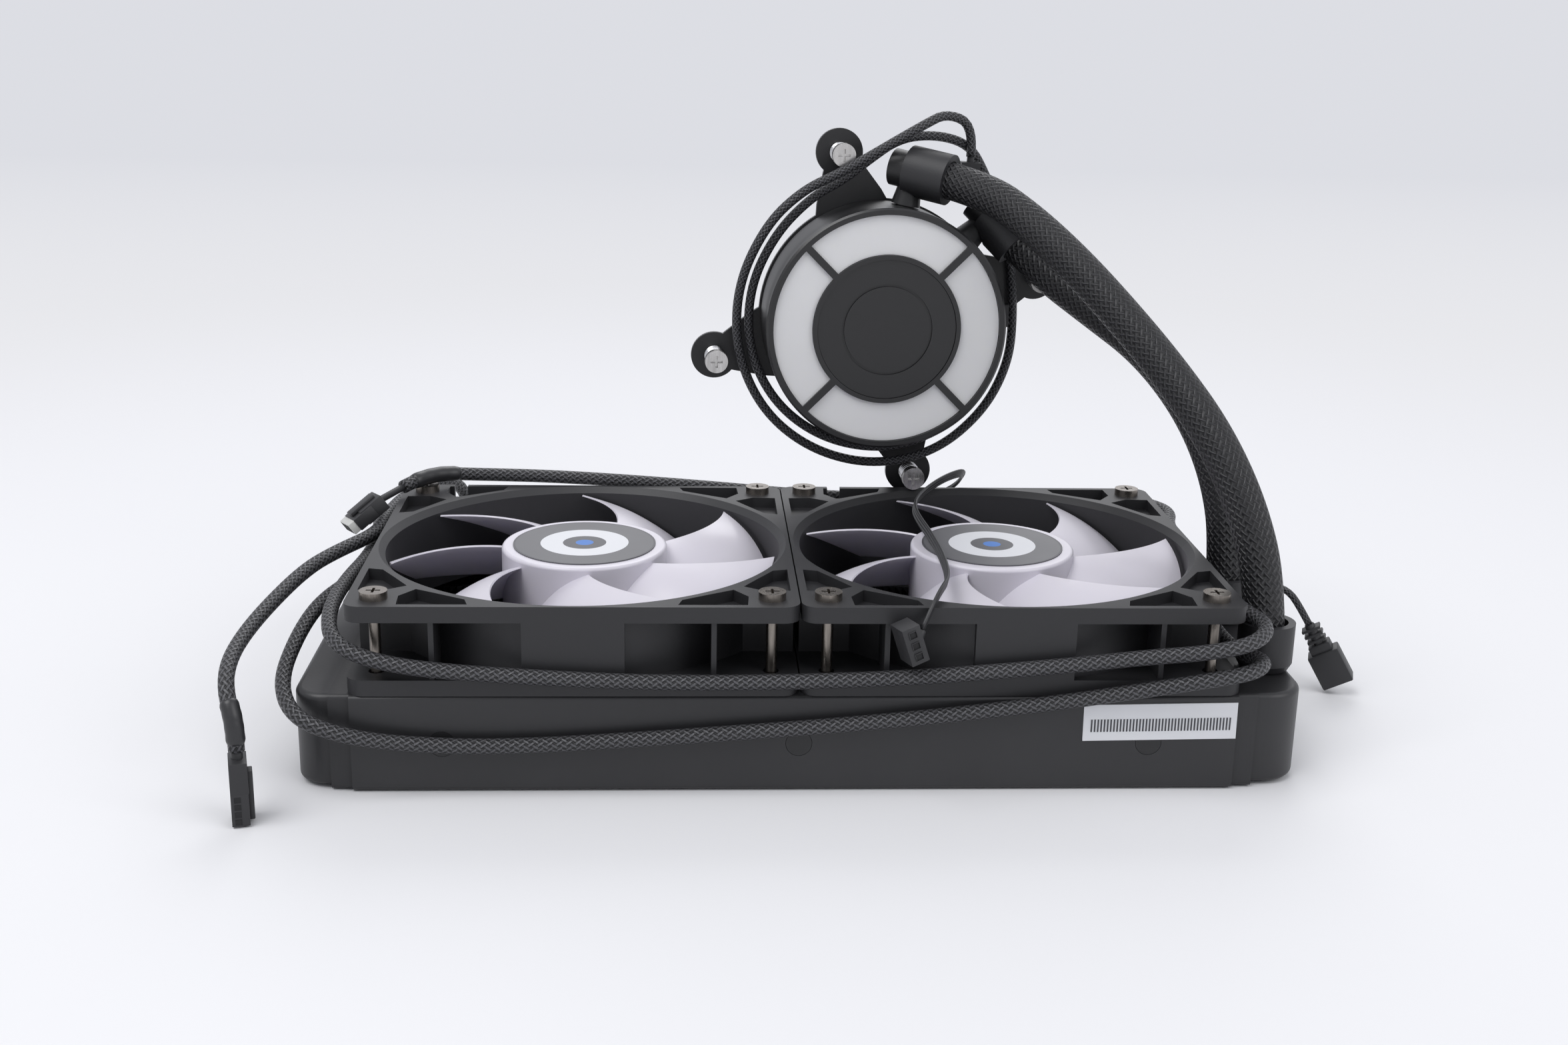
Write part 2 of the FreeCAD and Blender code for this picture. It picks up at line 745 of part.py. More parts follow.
def fan_motor(tag, x):
    yoke_out = hub_in
    yoke = minus(f"Yoke{tag}", rod(f"Yoke out{tag}", yoke_out, D.hub_low, D.hub_top - D.hub_wall),
                 rod(f"Yoke in{tag}", yoke_out - D.yoke_wall, 0, D.fan_high))
    node(at_fan(yoke, x), f"rotor_ring_{tag}")
    shaft = rod(f"Shaft{tag}", D.shaft_wide * half, fan_low + Size(1.8),
                fan_low + D.hub_top - D.hub_wall * half, x)
    node(shaft, f"rotor_shaft_{tag}")
    top = fan_low + D.hub_top
    label = rod(f"Label{tag}", D.label_wide * half, top, top + D.label_thick, x)
    node(label, f"hub_label_{tag}")


def fan_inner(tag, x):
    """Bearing, board and stator, which stay still in the motor."""
    bearing = minus(
        f"Bearing{tag}",
        rod(f"Sleeve{tag}", post_in, Size(1.8), D.post_high),
        rod(f"Sleeve bore{tag}", D.shaft_wide * half + D.running_gap, 0, D.fan_high),
    )
    board_low = D.base_thick + D.slip_gap
    board = minus(
        f"Board{tag}",
        rod(f"Board disc{tag}", D.coil_wide * half + 1, board_low, board_low + D.board_thick),
        rod(f"Board hole{tag}", post_out + D.slip_gap, 0, D.fan_high),
    )
    low = board_low + D.board_thick + D.running_gap * 10
    high = low + D.coil_high
    reach = D.coil_wide * half
    parts = [rod(f"Core ring{tag}", post_out + 3, low, high)]
    for i in range(4):
        arm = doc.addObject("Part::Box", f"Pole{tag}{i}")
        bind(arm, Length=reach - 1, Width=Size(7.0), Height=D.coil_high)
        turn = FreeCAD.Rotation(Z, 90 * i + 45)
        arm.Placement = FreeCAD.Placement(turn.multVec(Vector(0, -3.5, 0)), turn)
        bind(arm, Placement__Base__z=low)
        parts.append(arm)
    shoes = minus(f"Shoes{tag}", rod(f"Shoe out{tag}", reach, low, high),
                  rod(f"Shoe in{tag}", reach - 2, 0, D.fan_high))
    gaps = [shoes]
    for i in range(4):
        gap = doc.addObject("Part::Box", f"Gap{tag}{i}")
        bind(gap, Length=reach + 1, Width=Size(5.0), Height=D.fan_high)
        turn = FreeCAD.Rotation(Z, 90 * i)
        gap.Placement = FreeCAD.Placement(turn.multVec(Vector(0, -2.5, 0)), turn)
        gaps.append(gap)
    shoes = minus(f"Pole shoes{tag}", *gaps)
    core = join(f"Core{tag}", *parts, shoes)
    stator = minus(f"Stator{tag}", core, rod(f"Stator hole{tag}", post_out + D.slip_gap, 0, D.fan_high))
    return [at_fan(obj, x) for obj in (bearing, board, stator)]


inner_pieces = []
for side, x in fan_spots:
    tag = "left" if side < 0 else "right"
    fan_frame(f"fan_frame_{tag}", x)
    fan_rotor(f"fan_rotor_{tag}", x, 0 if side < 0 else 20)
    fan_motor(tag, x)
    inner_pieces.append(fan_inner(tag, x))
for place, label in enumerate(("fan_bearings", "fan_boards", "fan_stators")):
    node(group(label.replace("_", " "), *[pieces[place] for pieces in inner_pieces]), label)


def fan_screws():
    parts = []
    for i, (x, y) in enumerate(screw_spots):
        shank = rod(f"Fan shank{i}", screw_r, fan_low - D.screw_reach, fan_top, x, y)
        head = rod(f"Fan head{i}", D.screw_head * half, fan_top, fan_top + D.screw_head_high, x, y)
        top = fan_top + D.screw_head_high
        slots = [
            box(f"Cross a{i}", x - 1.9, y - 0.35, top - 1.2, x + 1.9, y + 0.35, top + 1),
            box(f"Cross b{i}", x - 0.35, y - 1.9, top - 1.2, x + 0.35, y + 1.9, top + 1),
        ]
        parts.append(minus(f"Fan screw{i}", join(f"Fan screw body{i}", shank, head), *slots))
    return node(group("Fan screws", *parts), "fan_screws")


fan_screws()

# Pump. Its pieces are drawn with the pump axis along Z, the face upwards and the bracket's front
# at zero, and are then stood up so that the face looks forwards.

DEG = "1 deg"


def cosine(degrees):
    return Size(math.cos(math.radians(degrees.value)), f"cos({degrees.text} * {DEG})")


def sine(degrees):
    return Size(math.sin(math.radians(degrees.value)), f"sin({degrees.text} * {DEG})")


ear_r = D.ear_circle * half
head_r = D.spring_screw_head * half
pump_z = fan_top + D.rest_gap + head_r + ear_r * cosine(D.ear_turn)
STOOD = FreeCAD.Rotation(Z, D.pump_yaw.value) * FreeCAD.Rotation(X, 90)
PUMP = FreeCAD.Placement(Vector(D.pump_x.value, D.pump_y.value, pump_z.value), STOOD)
EARS = [("right", 0), ("top", 90), ("left", 180), ("bottom", 270)]

pump_r = D.pump_wide * half
base_r = pump_r - 9
room_r = D.impeller_wide * half + Size(1.5)
cup_r = Size(7.7)
cup_top = Size(17.2)
floor_top = Size(14.0)
port_level = Size(9.0)


def stand_up(obj, label):
    obj.Placement = PUMP
    bind(obj, Placement__Base__x=D.pump_x, Placement__Base__y=D.pump_y, Placement__Base__z=pump_z)
    return node(obj, label)


def turned(name, rows):
    """A body of revolution about Z from rows of radius and height."""
    body = new_body(name)
    sk = sketch(body, "Profile", "XZ_Plane")
    outline(sk, rows)
    turn_round(body, sk)
    return body


def pump_housing():
    inner = pump_r - D.pump_wall
    step = inner - Size(1.8)
    low = -D.bracket_thick
    pin = D.shaft_wide * half - Size(0.25)
    shelf = D.pump_deep - Size(3.0)
    rows = [
        (Size(0), cup_top + Size(0.6)), (pin, cup_top + Size(0.6)), (pin, cup_top),
        (cup_r, cup_top), (cup_r, Size(8)), (room_r, Size(8)), (room_r, low), (base_r, low),
        (base_r, Size(0)), (pump_r - Size(1.2), Size(0)), (pump_r, Size(1.2)),
        (pump_r, D.pump_deep), (inner, D.pump_deep), (inner, shelf), (step, shelf),
        (step, floor_top), (cup_r + Size(0.9), floor_top), (cup_r + Size(0.9), cup_top + Size(1.4)),
        (Size(0), cup_top + Size(1.4)),
    ]
    body = turned("Pump housing", rows)
    for i, angle in enumerate(ELBOW_TURNS):
        hole = body.newObject("PartDesign::SubtractiveCylinder", f"Port{i}")
        spin = FreeCAD.Rotation(Z, angle) * FreeCAD.Rotation(Y, 90)
        start = FreeCAD.Rotation(Z, angle).multVec(Vector(room_r.value - 1, 0, port_level.value))
        hole.Placement = FreeCAD.Placement(start, spin)
        bind(hole, Radius=D.elbow_bore * half - Size(1.5), Height=pump_r - room_r + 2)
        doc.recompute()
    gland = sketch(body, "Gland", lift=Size(4.5))
    rectangle(gland, pump_r - Size(1.5), GLAND_LOW, pump_r + Size(4.8), GLAND_LOW + Size(7))
    pad(body, gland, Size(5.0), "Lead gland")
    threads = sketch(body, "Threads", lift=low)
    for i in range(8):
        angle = Size(22.5 + 45 * i)
        reach = base_r - Size(3.2)
        circle(threads, reach * cosine(angle), reach * sine(angle), D.shaft_wide * half - Size(0.3))
    cut(body, threads, Size(6.5), "Screw threads", away=True)
    return stand_up(body, "pump_housing")


ELBOW_TURNS = (79, 44)
ELBOW_TILTS = (32, 24)
GLAND_LOW = Size(-2.0)


def pump_face():
    top = D.pump_deep + D.bezel_deep
    low = D.pump_deep
    out, win = D.bezel_wide * half, D.window_wide * half
    centre = D.centre_wide * half
    hoop = centre - Size(1.4)
    ledge = Size(0.7)
    body = turned("Face ring", [
        (out, low), (out, top - Size(0.6)), (out - Size(0.6), top), (win, top),
        (win, low + ledge), (win - Size(1.6), low + ledge), (win - Size(1.6), low),
    ])
    ring = sketch(body, "Hoop", lift=low)
    circle(ring, 0, 0, centre)
    circle(ring, 0, 0, hoop)
    rib = sketch(body, "Rib", lift=top - Size(0.9))
    rectangle(rib, hoop + Size(0.4), -D.rib_wide * half, win + Size(0.6), D.rib_wide * half)
    rib_pad = pad(body, rib, Size(0.9), "Rib pad")
    turn = repeat_round(body, [rib_pad], Size(4), "Ribs")
    hoop_pad = pad(body, ring, D.bezel_deep, "Hoop pad")
    del turn, hoop_pad
    stand_up(body, "face_ring")
    body.Placement = FreeCAD.Placement(PUMP.Base, STOOD * FreeCAD.Rotation(Z, 45))
    gap = D.slip_gap
    glass = turned("Face window", [
        (centre + gap, low + ledge), (win - gap, low + ledge), (win - gap, top - Size(1.0)),
        (centre + gap, top - Size(1.0)),
    ])
    stand_up(glass, "face_window")
    disc_r = hoop - gap
    groove = disc_r * Size(0.62)
    disc = turned("Face disc", [
        (Size(0), low + ledge), (disc_r, low + ledge), (disc_r, top - Size(0.5)),
        (groove + Size(0.8), top - Size(0.5)), (groove + Size(0.8), top - Size(1.1)),
        (groove, top - Size(1.1)), (groove, top - Size(0.5)), (Size(0), top - Size(0.5)),
    ])
    stand_up(disc, "face_disc")


def bracket():
    body = new_body("Bracket")
    plate = sketch(body, "Ring", lift=-D.bracket_thick)
    circle(plate, 0, 0, pump_r + Size(0.6))
    pad(body, plate, D.bracket_thick, "Plate")
    arm = sketch(body, "Arm", lift=-D.bracket_thick)
    ear = D.ear_wide * half
    outline(arm, [
        (pump_r - 6, -Size(13)), (pump_r + 2, -Size(10.5)), (ear_r - Size(5), -ear * Size(0.86)),
        (ear_r, -ear * Size(0.5)), (ear_r, ear * Size(0.5)), (ear_r - Size(5), ear * Size(0.86)),
        (pump_r + 2, Size(10.5)), (pump_r - 6, Size(13)),
    ])
    arm_pad = pad(body, arm, D.bracket_thick, "Arm pad")
    disc = sketch(body, "Ear", lift=-D.bracket_thick)
    circle(disc, ear_r, 0, ear)
    ear_pad = pad(body, disc, D.bracket_thick, "Ear pad")
    repeat_round(body, [arm_pad, ear_pad], Size(4), "Arms")
    hole = sketch(body, "Hole", lift=-D.bracket_thick)
    circle(hole, ear_r, 0, D.shank_wide * half + D.ear_gap)
    hole_cut = cut(body, hole, D.bracket_thick, "Ear hole", away=True)
    repeat_round(body, [hole_cut], Size(4), "Ear holes")
    middle = sketch(body, "Middle", lift=-D.bracket_thick)
    circle(middle, 0, 0, base_r + D.slip_gap)
    cut(body, middle, D.bracket_thick, "Middle hole", away=True)
    stand_up(body, "bracket")
    body.Placement = FreeCAD.Placement(PUMP.Base, STOOD * FreeCAD.Rotation(Z, D.ear_turn.value))


def cold_plate():
    high = -D.bracket_thick
    low = high - D.cold_thick
    wide = D.plate_wide * half + Size(1.5)
    seat = D.shaft_wide * half - Size(0.25)
    body = turned("Cold plate", [
        (Size(0), low), (wide - Size(0.6), low), (wide, low + Size(0.6)), (wide, high), (seat, high),
        (seat, high - 1), (Size(0), high - 1),
    ])
    holes = sketch(body, "Holes", lift=low)
    heads = sketch(body, "Heads", lift=low)
    for i in range(8):
        angle = Size(22.5 + 45 * i)
        reach = base_r - Size(3.2)
        at = (reach * cosine(angle), reach * sine(angle))
        circle(holes, *at, D.shaft_wide * half - Size(0.1))
        circle(heads, *at, D.shaft_wide * half + Size(1.1))
    cut(body, holes, None, "Hole cut", away=True)
    cut(body, heads, Size(1.4), "Head seats", away=True)
    stand_up(body, "cold_plate")
    screws = []
    for i in range(8):
        angle = Size(22.5 + 45 * i)
        reach = base_r - Size(3.2)
        at = (reach * cosine(angle), reach * sine(angle))
        screws.append(join(
            f"Plate screw{i}",
            rod(f"Plate shank{i}", D.shaft_wide * half - Size(0.3), low + Size(1.3), Size(4.0), *at),
            rod(f"Plate head{i}", D.shaft_wide * half + Size(0.9), low + Size(0.1), low + Size(1.4), *at),
        ))
    stand_up(group("Plate screws", *screws), "cold_plate_screws")


def pump_inside():
    pin = D.shaft_wide * half - Size(0.25)
    shaft = rod("Pin", pin, -D.bracket_thick - 1, cup_top + Size(0.6))
    stand_up(group("Impeller pin", shaft), "impeller_shaft")
    impeller_r = D.impeller_wide * half
    bore = pin + D.running_gap
    body = turned("Impeller", [
        (bore, Size(0.4)), (Size(4.0), Size(0.4)), (Size(4.0), Size(4.8)), (impeller_r, Size(4.8)),
        (impeller_r, Size(6.4)), (cup_r - Size(0.6), Size(6.4)), (cup_r - Size(0.6), cup_top - Size(0.7)),
        (bore, cup_top - Size(0.7)),
    ])
    vane = sketch(body, "Vane", lift=Size(0.4))
    outline(vane, [
        (Size(3.4), Size(-0.6)), (impeller_r - Size(1.2), Size(-3.2)),
        (impeller_r - Size(0.9), Size(-2.2)), (Size(3.6), Size(0.6)),
    ])
    vane_pad = pad(body, vane, Size(4.6), "Vane pad")
    repeat_round(body, [vane_pad], Size(6), "Vanes")
    stand_up(body, "impeller")
    cup_out = cup_r + Size(0.9)
    ring_out = Size(20.0)
    low, high = floor_top + D.running_gap, cup_top + Size(1.2)
    ring = minus("Pump stator ring", rod("Ring out", ring_out, low, high),
                 rod("Ring in", ring_out - 3, low - 1, high + 1))
    poles = [ring]
    for i in range(6):
        pole = doc.addObject("Part::Box", f"Pump pole{i}")
        bind(pole, Length=ring_out - cup_out - 2, Width=Size(5), Height=high - low)
        turn = FreeCAD.Rotation(Z, 60 * i)
        start = turn.multVec(Vector(cup_out.value + 0.4, -2.5, low.value))
        pole.Placement = FreeCAD.Placement(start, turn)
        poles.append(pole)
    stand_up(join("Pump stator", *poles), "pump_stator")
    inner = pump_r - D.pump_wall - D.slip_gap
    shelf = D.pump_deep - Size(3.0)
    board = [rod("Light board disc", inner, shelf, shelf + D.board_thick)]
    for i in range(12):
        lamp = doc.addObject("Part::Box", f"Lamp{i}")
        bind(lamp, Length=Size(3.0), Width=Size(3.0), Height=Size(1.1))
        turn = FreeCAD.Rotation(Z, 30 * i)
        start = turn.multVec(Vector(27.5, -1.5, shelf.value + D.board_thick.value - 0.1))
        lamp.Placement = FreeCAD.Placement(start, turn)
        board.append(lamp)
    stand_up(join("Light board", *board), "pump_board")


def lying(name, radius, start, along, length, radius_end=None):
    """A rod or cone from a point of the pump's frame along a direction."""
    if radius_end is None:
        obj = doc.addObject("Part::Cylinder", name)
        bind(obj, Radius=radius, Height=length)
    else:
        obj = doc.addObject("Part::Cone", name)
        bind(obj, Radius1=radius, Radius2=radius_end, Height=length)
    obj.Placement = FreeCAD.Placement(start, FreeCAD.Rotation(Z, along))
    return obj


hose_r = D.hose_wide * half
HOSE_STARTS = []
BARREL_BACK = 6.5
BARREL_AHEAD = 4.2


def elbows():
    """Swivel elbows on the pump's side and the collars over the hose ends."""
    bodies, sleeves = [], []
    for i, (angle, tilt) in enumerate(zip(ELBOW_TURNS, ELBOW_TILTS)):
        turn = FreeCAD.Rotation(Z, angle)
        radial = turn.multVec(X)
        lean = math.radians(tilt)
        ahead = turn.multVec(Vector(0, -math.cos(lean), math.sin(lean)))
        foot = radial * D.elbow_out.value + Vector(0, 0, port_level.value)
        inside = radial * (room_r.value + 6) + Vector(0, 0, port_level.value)
        skin = radial * (pump_r.value + 0.3) + Vector(0, 0, port_level.value)
        plug_r = D.elbow_bore * half - Size(1.5) - D.slip_gap * half
        stem = lying(f"Stem{i}", plug_r, inside, radial, pump_r - room_r - Size(5.5))
        lug = lying(f"Lug{i}", D.elbow_bore * half + Size(0.1), skin, radial,
                    D.elbow_out - pump_r - Size(0.3), D.elbow_bore * half - Size(1.6))
        barrel = lying(f"Barrel{i}", hose_r, foot - ahead * BARREL_BACK, ahead,
                       Size(BARREL_BACK + BARREL_AHEAD))
        bodies.append(join(f"Elbow{i}", stem, lug, barrel))
        collar_start = foot - ahead * 1.0
        sleeve = lying(f"Sleeve out{i}", hose_r + D.collar_wall, collar_start, ahead, D.collar_high)
        hollow = lying(f"Sleeve in{i}", hose_r + D.slip_gap, collar_start - ahead, ahead,
                       D.collar_high + 2)
        lug_gap = lying(f"Sleeve gap{i}", D.elbow_bore * half + Size(0.4), skin, radial,
                        D.elbow_out - pump_r - Size(0.3), D.elbow_bore * half + Size(0.4))
        sleeves.append(minus(f"Pump collar{i}", sleeve, hollow, lug_gap))
        HOSE_STARTS.append((PUMP.multVec(foot + ahead * BARREL_AHEAD), STOOD.multVec(ahead)))
    stand_up(group("Elbows", *bodies), "elbows")
    stand_up(group("Pump collars", *sleeves), "hose_collars_pump")


def port_collars():
    low = D.rad_high - D.tank_drop + Size(0.5)
    parts = []
    for name, y in (("front", D.port_front_y), ("rear", D.port_rear_y)):
        out = rod(f"Collar {name}", hose_r + D.collar_wall, low + 2, low + D.collar_high, D.port_x, y)
        taper = doc.addObject("Part::Cone", f"Taper {name}")
        bind(taper, Radius1=hose_r + D.collar_wall * half, Radius2=hose_r + D.collar_wall, Height=Size(2))
        bind(taper, Placement__Base__x=D.port_x, Placement__Base__y=y, Placement__Base__z=low)
        hollow = rod(f"Bore {name}", hose_r + D.slip_gap, low - 1, low + D.collar_high + 1, D.port_x, y)
        parts.append(minus(f"Port collar {name}", join(f"Collar body {name}", out, taper), hollow))
    return node(group("Port collars", *parts), "hose_collars_radiator")


def spring_screws():
    """Four captive screws that slide in the ears, each with its spring."""
    for label, quarter in EARS:
        angle = D.ear_turn + quarter
        at = (ear_r * cosine(angle), ear_r * sine(angle))
        top = D.spring_long + D.spring_screw_high + Size(0.1)
        shank_low = -Size(9.0)
        shank = rod(f"Shank {label}", D.shank_wide * half, shank_low, D.spring_long + 1, *at)
        head = rod(f"Head {label}", head_r, D.spring_long + Size(0.1), top, *at)
        ring = rod(f"Clip {label}", D.shank_wide * half + Size(1.1), -D.bracket_thick - Size(1.3),
                   -D.bracket_thick - Size(0.5), *at)
        x, y = at
        slots = [
            box(f"Drive a {label}", x - 1.9, y - 0.4, top - Size(1.3), x + 1.9, y + 0.4, top + 1),
            box(f"Drive b {label}", x - 0.4, y - 1.9, top - Size(1.3), x + 0.4, y + 1.9, top + 1),
        ]
        screw = minus(f"Spring screw {label}", join(f"Screw body {label}", shank, head, ring), *slots)
        stand_up(screw, f"spring_screw_{label}")
        wire_r = D.spring_wire.value / 2
        mean_r = D.spring_wide.value / 2 - wire_r
        turns = 5
        rise = D.spring_long.value - 2 * wire_r - 0.2
        helix = Part.makeHelix(rise / turns, rise, mean_r)
        slope = rise / turns / (2 * math.pi * mean_r)
        section = Part.Wire(Part.makeCircle(wire_r, Vector(mean_r, 0, 0), Vector(0, 1, slope)))
        coil = Part.Wire(helix).makePipeShell([section], True, True)
        seat = FreeCAD.Placement(Vector(float(x), float(y), wire_r + 0.1), FreeCAD.Rotation())
        node(plain(f"Spring {label}", coil, PUMP * seat), f"spring_{label}")


pump_housing()
pump_face()
bracket()
cold_plate()
pump_inside()
elbows()
port_collars()
spring_screws()


# Cords. Each is a row of points in millimetres joined by straight runs and tangent arcs.

def cord(label, points, radius):
    """A round cord swept along its points."""
    points = [Vector(*p) for p in points]
    edges, radii = [], []
    start = points[0]
    for before, corner, after in zip(points, points[1:], points[2:]):
        coming, going = corner - before, after - corner
        turn = coming.getAngle(going)
        reach = 0.45 * min(coming.Length, going.Length)
        bend = reach / math.tan(turn / 2)
        coming.normalize()
        going.normalize()
        first, last = corner - coming * reach, corner + going * reach
        inward = (going - coming).normalize()
        middle = corner + inward * (bend / math.cos(turn / 2) - bend)
        edges.append(Part.makeLine(start, first))
        edges.append(Part.Arc(first, middle, last).toShape())
        radii.append(bend)
        start = last
    edges.append(Part.makeLine(start, points[-1]))
    path = Part.Wire(edges)
    section = Part.Wire(Part.makeCircle(radius, points[0], points[1] - points[0]))
    tube = path.makePipeShell([section], True, False)
    even = tube.Volume / (math.pi * radius * radius * path.Length)
    print(f"{label}: length {path.Length:.1f}, least bend {min(radii):.1f}, "
          f"{min(radii) / (2 * radius):.1f} diameters, volume ratio {even:.4f}, points",
          [tuple(round(c, 2) for c in p) for p in points])
    return node(plain(label.replace("_", " "), tube, FreeCAD.Placement()), label)


def framed(at, back, side):
    """A placement whose Z points back along the cord and whose X points roughly sideways."""
    rotation = FreeCAD.Rotation(Vector(*side), Vector(), Vector(*back), "ZXY")
    return FreeCAD.Placement(Vector(*at), rotation)


def plug(label, at, back, side, size, windows, neck_back, neck):
    """A plug whose cord end is centred on a point; gives the cord's end and its direction."""
    wide, deep, long = size
    place = framed(at, back, side)
    body = doc.addObject("Part::Box", f"{label} body")
    bind(body, Length=Size(wide), Width=Size(deep), Height=Size(long))
    body.Placement = place * FreeCAD.Placement(Vector(-wide / 2, -deep / 2, -long), FreeCAD.Rotation())
    key = doc.addObject("Part::Box", f"{label} key")
    bind(key, Length=Size(wide * 0.42), Width=Size(1.3), Height=Size(long * 0.5))
    key.Placement = place * FreeCAD.Placement(
        Vector(-wide * 0.21, deep / 2 - 0.1, -long * 0.92), FreeCAD.Rotation())
    tools = []
    for i in range(windows):
        hole = doc.addObject("Part::Box", f"{label} window{i}")
        bind(hole, Length=Size(1.1), Width=Size(1.4), Height=Size(1.6))
        step = wide * 0.8 / windows
        x = (i - (windows - 1) / 2) * step - 0.55
        hole.Placement = place * FreeCAD.Placement(
            Vector(x, -deep / 2 - 0.4, -long * 0.55), FreeCAD.Rotation())
        tools.append(hole)
    direction = Vector(*neck_back).normalize()
    radius, reach = neck
    inside = Vector(*at) - direction * 1.5
    stub = doc.addObject("Part::Cylinder", f"{label} neck")
    bind(stub, Radius=Size(radius), Height=Size(reach + 1.5))
    stub.Placement = FreeCAD.Placement(inside, FreeCAD.Rotation(Z, direction))
    parts = [body, key, stub]
    housing = join(f"{label} housing", *parts)
    whole = minus(label.replace("_", " "), housing, *tools) if tools else housing
    node(whole, label)
    return Vector(*at) + direction * reach, direction


def hose_route(which, run, middle, y):
    start, ahead = HOSE_STARTS[which]
    top = (D.rad_high - D.tank_drop + D.boss_high).value
    last = [(D.port_x.value, y.value, top)]
    return [tuple(start), tuple(start + ahead * run)] + middle + last


cord("hose_front", hose_route(0, 19.6, [
    (72.3, 32.9, 145.1), (85.5, 19.7, 130.1), (98.6, 9.1, 117.8), (111.3, -3.1, 105.4),
    (122.4, -18.3, 90.7), (129.0, -30.9, 71.9), (132.4, -37.0, 50.4)], D.port_front_y), hose_r.value)
cord("hose_rear", hose_route(1, 19.0, [
    (94.3, 41.0, 114.9), (109.6, 29.6, 104.2), (121.6, 17.4, 88.6), (129.3, 9.2, 70.2),
    (132.4, 4.0, 50.3)], D.port_rear_y), hose_r.value)

lead_r = D.lead_wide.value / 2
light_r = D.light_lead_wide.value / 2
ribbon_r = D.ribbon_wide.value / 2
pump_lead_r = D.pump_lead_wide.value / 2
gland_y = (duct_r * Size(0.66) + Size(8.6)).value
gland_z = (fan_low + Size(12.5)).value


def gland(fan_x, x):
    return (fan_x + x, gland_y, gland_z)


fan_x = D.fan_pitch.value / 2

end, back = plug("plug_upper", (-124.5, 36.0, 53.7), (10.2, 6.0, 8.1), (-0.3, 1.0, 0.0),
                 (10.2, 5.0, 13.6), 0, (0.57, 0.80, 0.18), (1.1, 10.0))
cord("fan_lead_left", [
    gland(-fan_x, -44), (-104.0, 63.5, 39.5), (-117.6, 71.0, 41.2), (-129.8, 61.0, 42.0),
    (-126.6, 45.0, 41.8), (-125.0, 19.0, 41.8), (-128.0, -12.0, 42.5), (-127.6, -39.0, 42.4),
    (-122.8, -57.0, 40.2), (-108.0, -62.8, 36.8), (-80.0, -62.4, 33.9), (-34.0, -62.5, 31.6),
    (20.0, -62.4, 32.6), (66.0, -62.5, 36.2), (92.0, -62.6, 39.2), (107.0, -66.0, 41.6),
    (120.5, -64.5, 43.6), (128.0, -53.0, 44.6), (122.8, -38.5, 45.2), (122.2, -13.0, 45.6),
    (122.3, 13.0, 45.7), (122.8, 38.5, 45.7), (128.0, 53.0, 45.9), (120.5, 64.5, 46.2), (107.0, 66.0, 46.5),
    (84.0, 62.5, 46.8), (56.0, 62.4, 47.0), (14.0, 62.6, 47.7), (-28.0, 62.5, 51.4), (-70.0, 62.6, 54.2),
    (-98.0, 61.8, 55.0), tuple(end + back * 11.5 + Vector(0, 0, 0.0)), tuple(end)], lead_r)

end, back = plug("plug_table", (-144.3, -77.0, 17.3), (0.0, 0.0, 1.0), (-0.26, 1.0, 0.0),
                 (8.6, 4.6, 17.2), 0, (0.0, 0.0, 1.0), (1.5, 2.0))
cord("fan_lead_right", [
    gland(fan_x, -44), (16.0, 59.5, 39.5), (24.5, 69.5, 38.0), (40.5, 67.0, 36.2),
    (66.0, 62.5, 35.4), (91.0, 62.6, 34.9), (107.0, 66.0, 34.6), (120.5, 64.5, 34.4),
    (128.0, 53.0, 34.0), (122.6, 38.5, 33.4), (122.3, 13.0, 33.2), (122.2, -15.0, 33.1), (121.9, -42.0, 33.3),
    (127.6, -53.5, 34.8), (121.5, -65.0, 35.8), (107.0, -66.5, 33.9), (94.0, -62.8, 30.2),
    (67.0, -62.4, 25.8), (22.0, -62.5, 20.7), (-30.0, -62.5, 16.7), (-79.0, -62.4, 13.5),
    (-108.0, -62.9, 15.0), (-122.0, -64.2, 18.2), (-133.6, -61.0, 21.8), (-139.3, -48.0, 26.4),
    (-138.2, -30.0, 32.4), (-135.6, -12.0, 35.9), (-131.0, 3.0, 36.8), (-127.4, 20.0, 35.0),
    (-124.2, 42.0, 32.0), (-122.9, 64.0, 29.5), (-114.5, 80.0, 14.0), (-105.0, 95.0, 21.0),
    (-105.0, 95.0, 41.5), (-112.5, 79.0, 48.5), (-121.5, 65.0, 46.8), (-124.0, 45.0, 46.7),
    (-123.6, 24.0, 46.6), (-133.5, 6.0, 46.0), (-139.6, -8.0, 45.0), (-146.0, -31.0, 41.2),
    (-148.9, -50.0, 38.6), (-148.6, -65.0, 36.9), (-147.0, -73.0, 32.8), tuple(end + back * 8.0),
    tuple(end)], lead_r)

end, back = plug("plug_right", (166.4, 12.0, 15.6), (-0.5, 0.1, 0.86), (0.80, -0.33, 0.5),
                 (10.0, 6.0, 14.5), 0, (-0.5, 0.1, 0.86), (1.6, 7.0))
cord("light_lead_left", [
    gland(-fan_x, -39.3), (-99.3, 58.0, 39.5), (-94.5, 66.5, 36.0), (-84.0, 67.0, 31.6), (-72.0, 63.5, 29.8),
    (-52.0, 62.6, 29.8), (-30.0, 62.3, 29.7), (0.0, 62.5, 29.8), (30.0, 62.3, 29.7),
    (60.0, 62.5, 29.6), (90.0, 62.3, 29.4), (117.0, 62.9, 29.0), (130.0, 65.0, 27.0),
    (142.0, 60.0, 23.4), (148.0, 49.0, 21.6), (151.0, 37.5, 25.2), (154.2, 26.6, 29.8), (157.2, 17.4, 31.0),
    tuple(end + back * 5.9), tuple(end)], light_r)

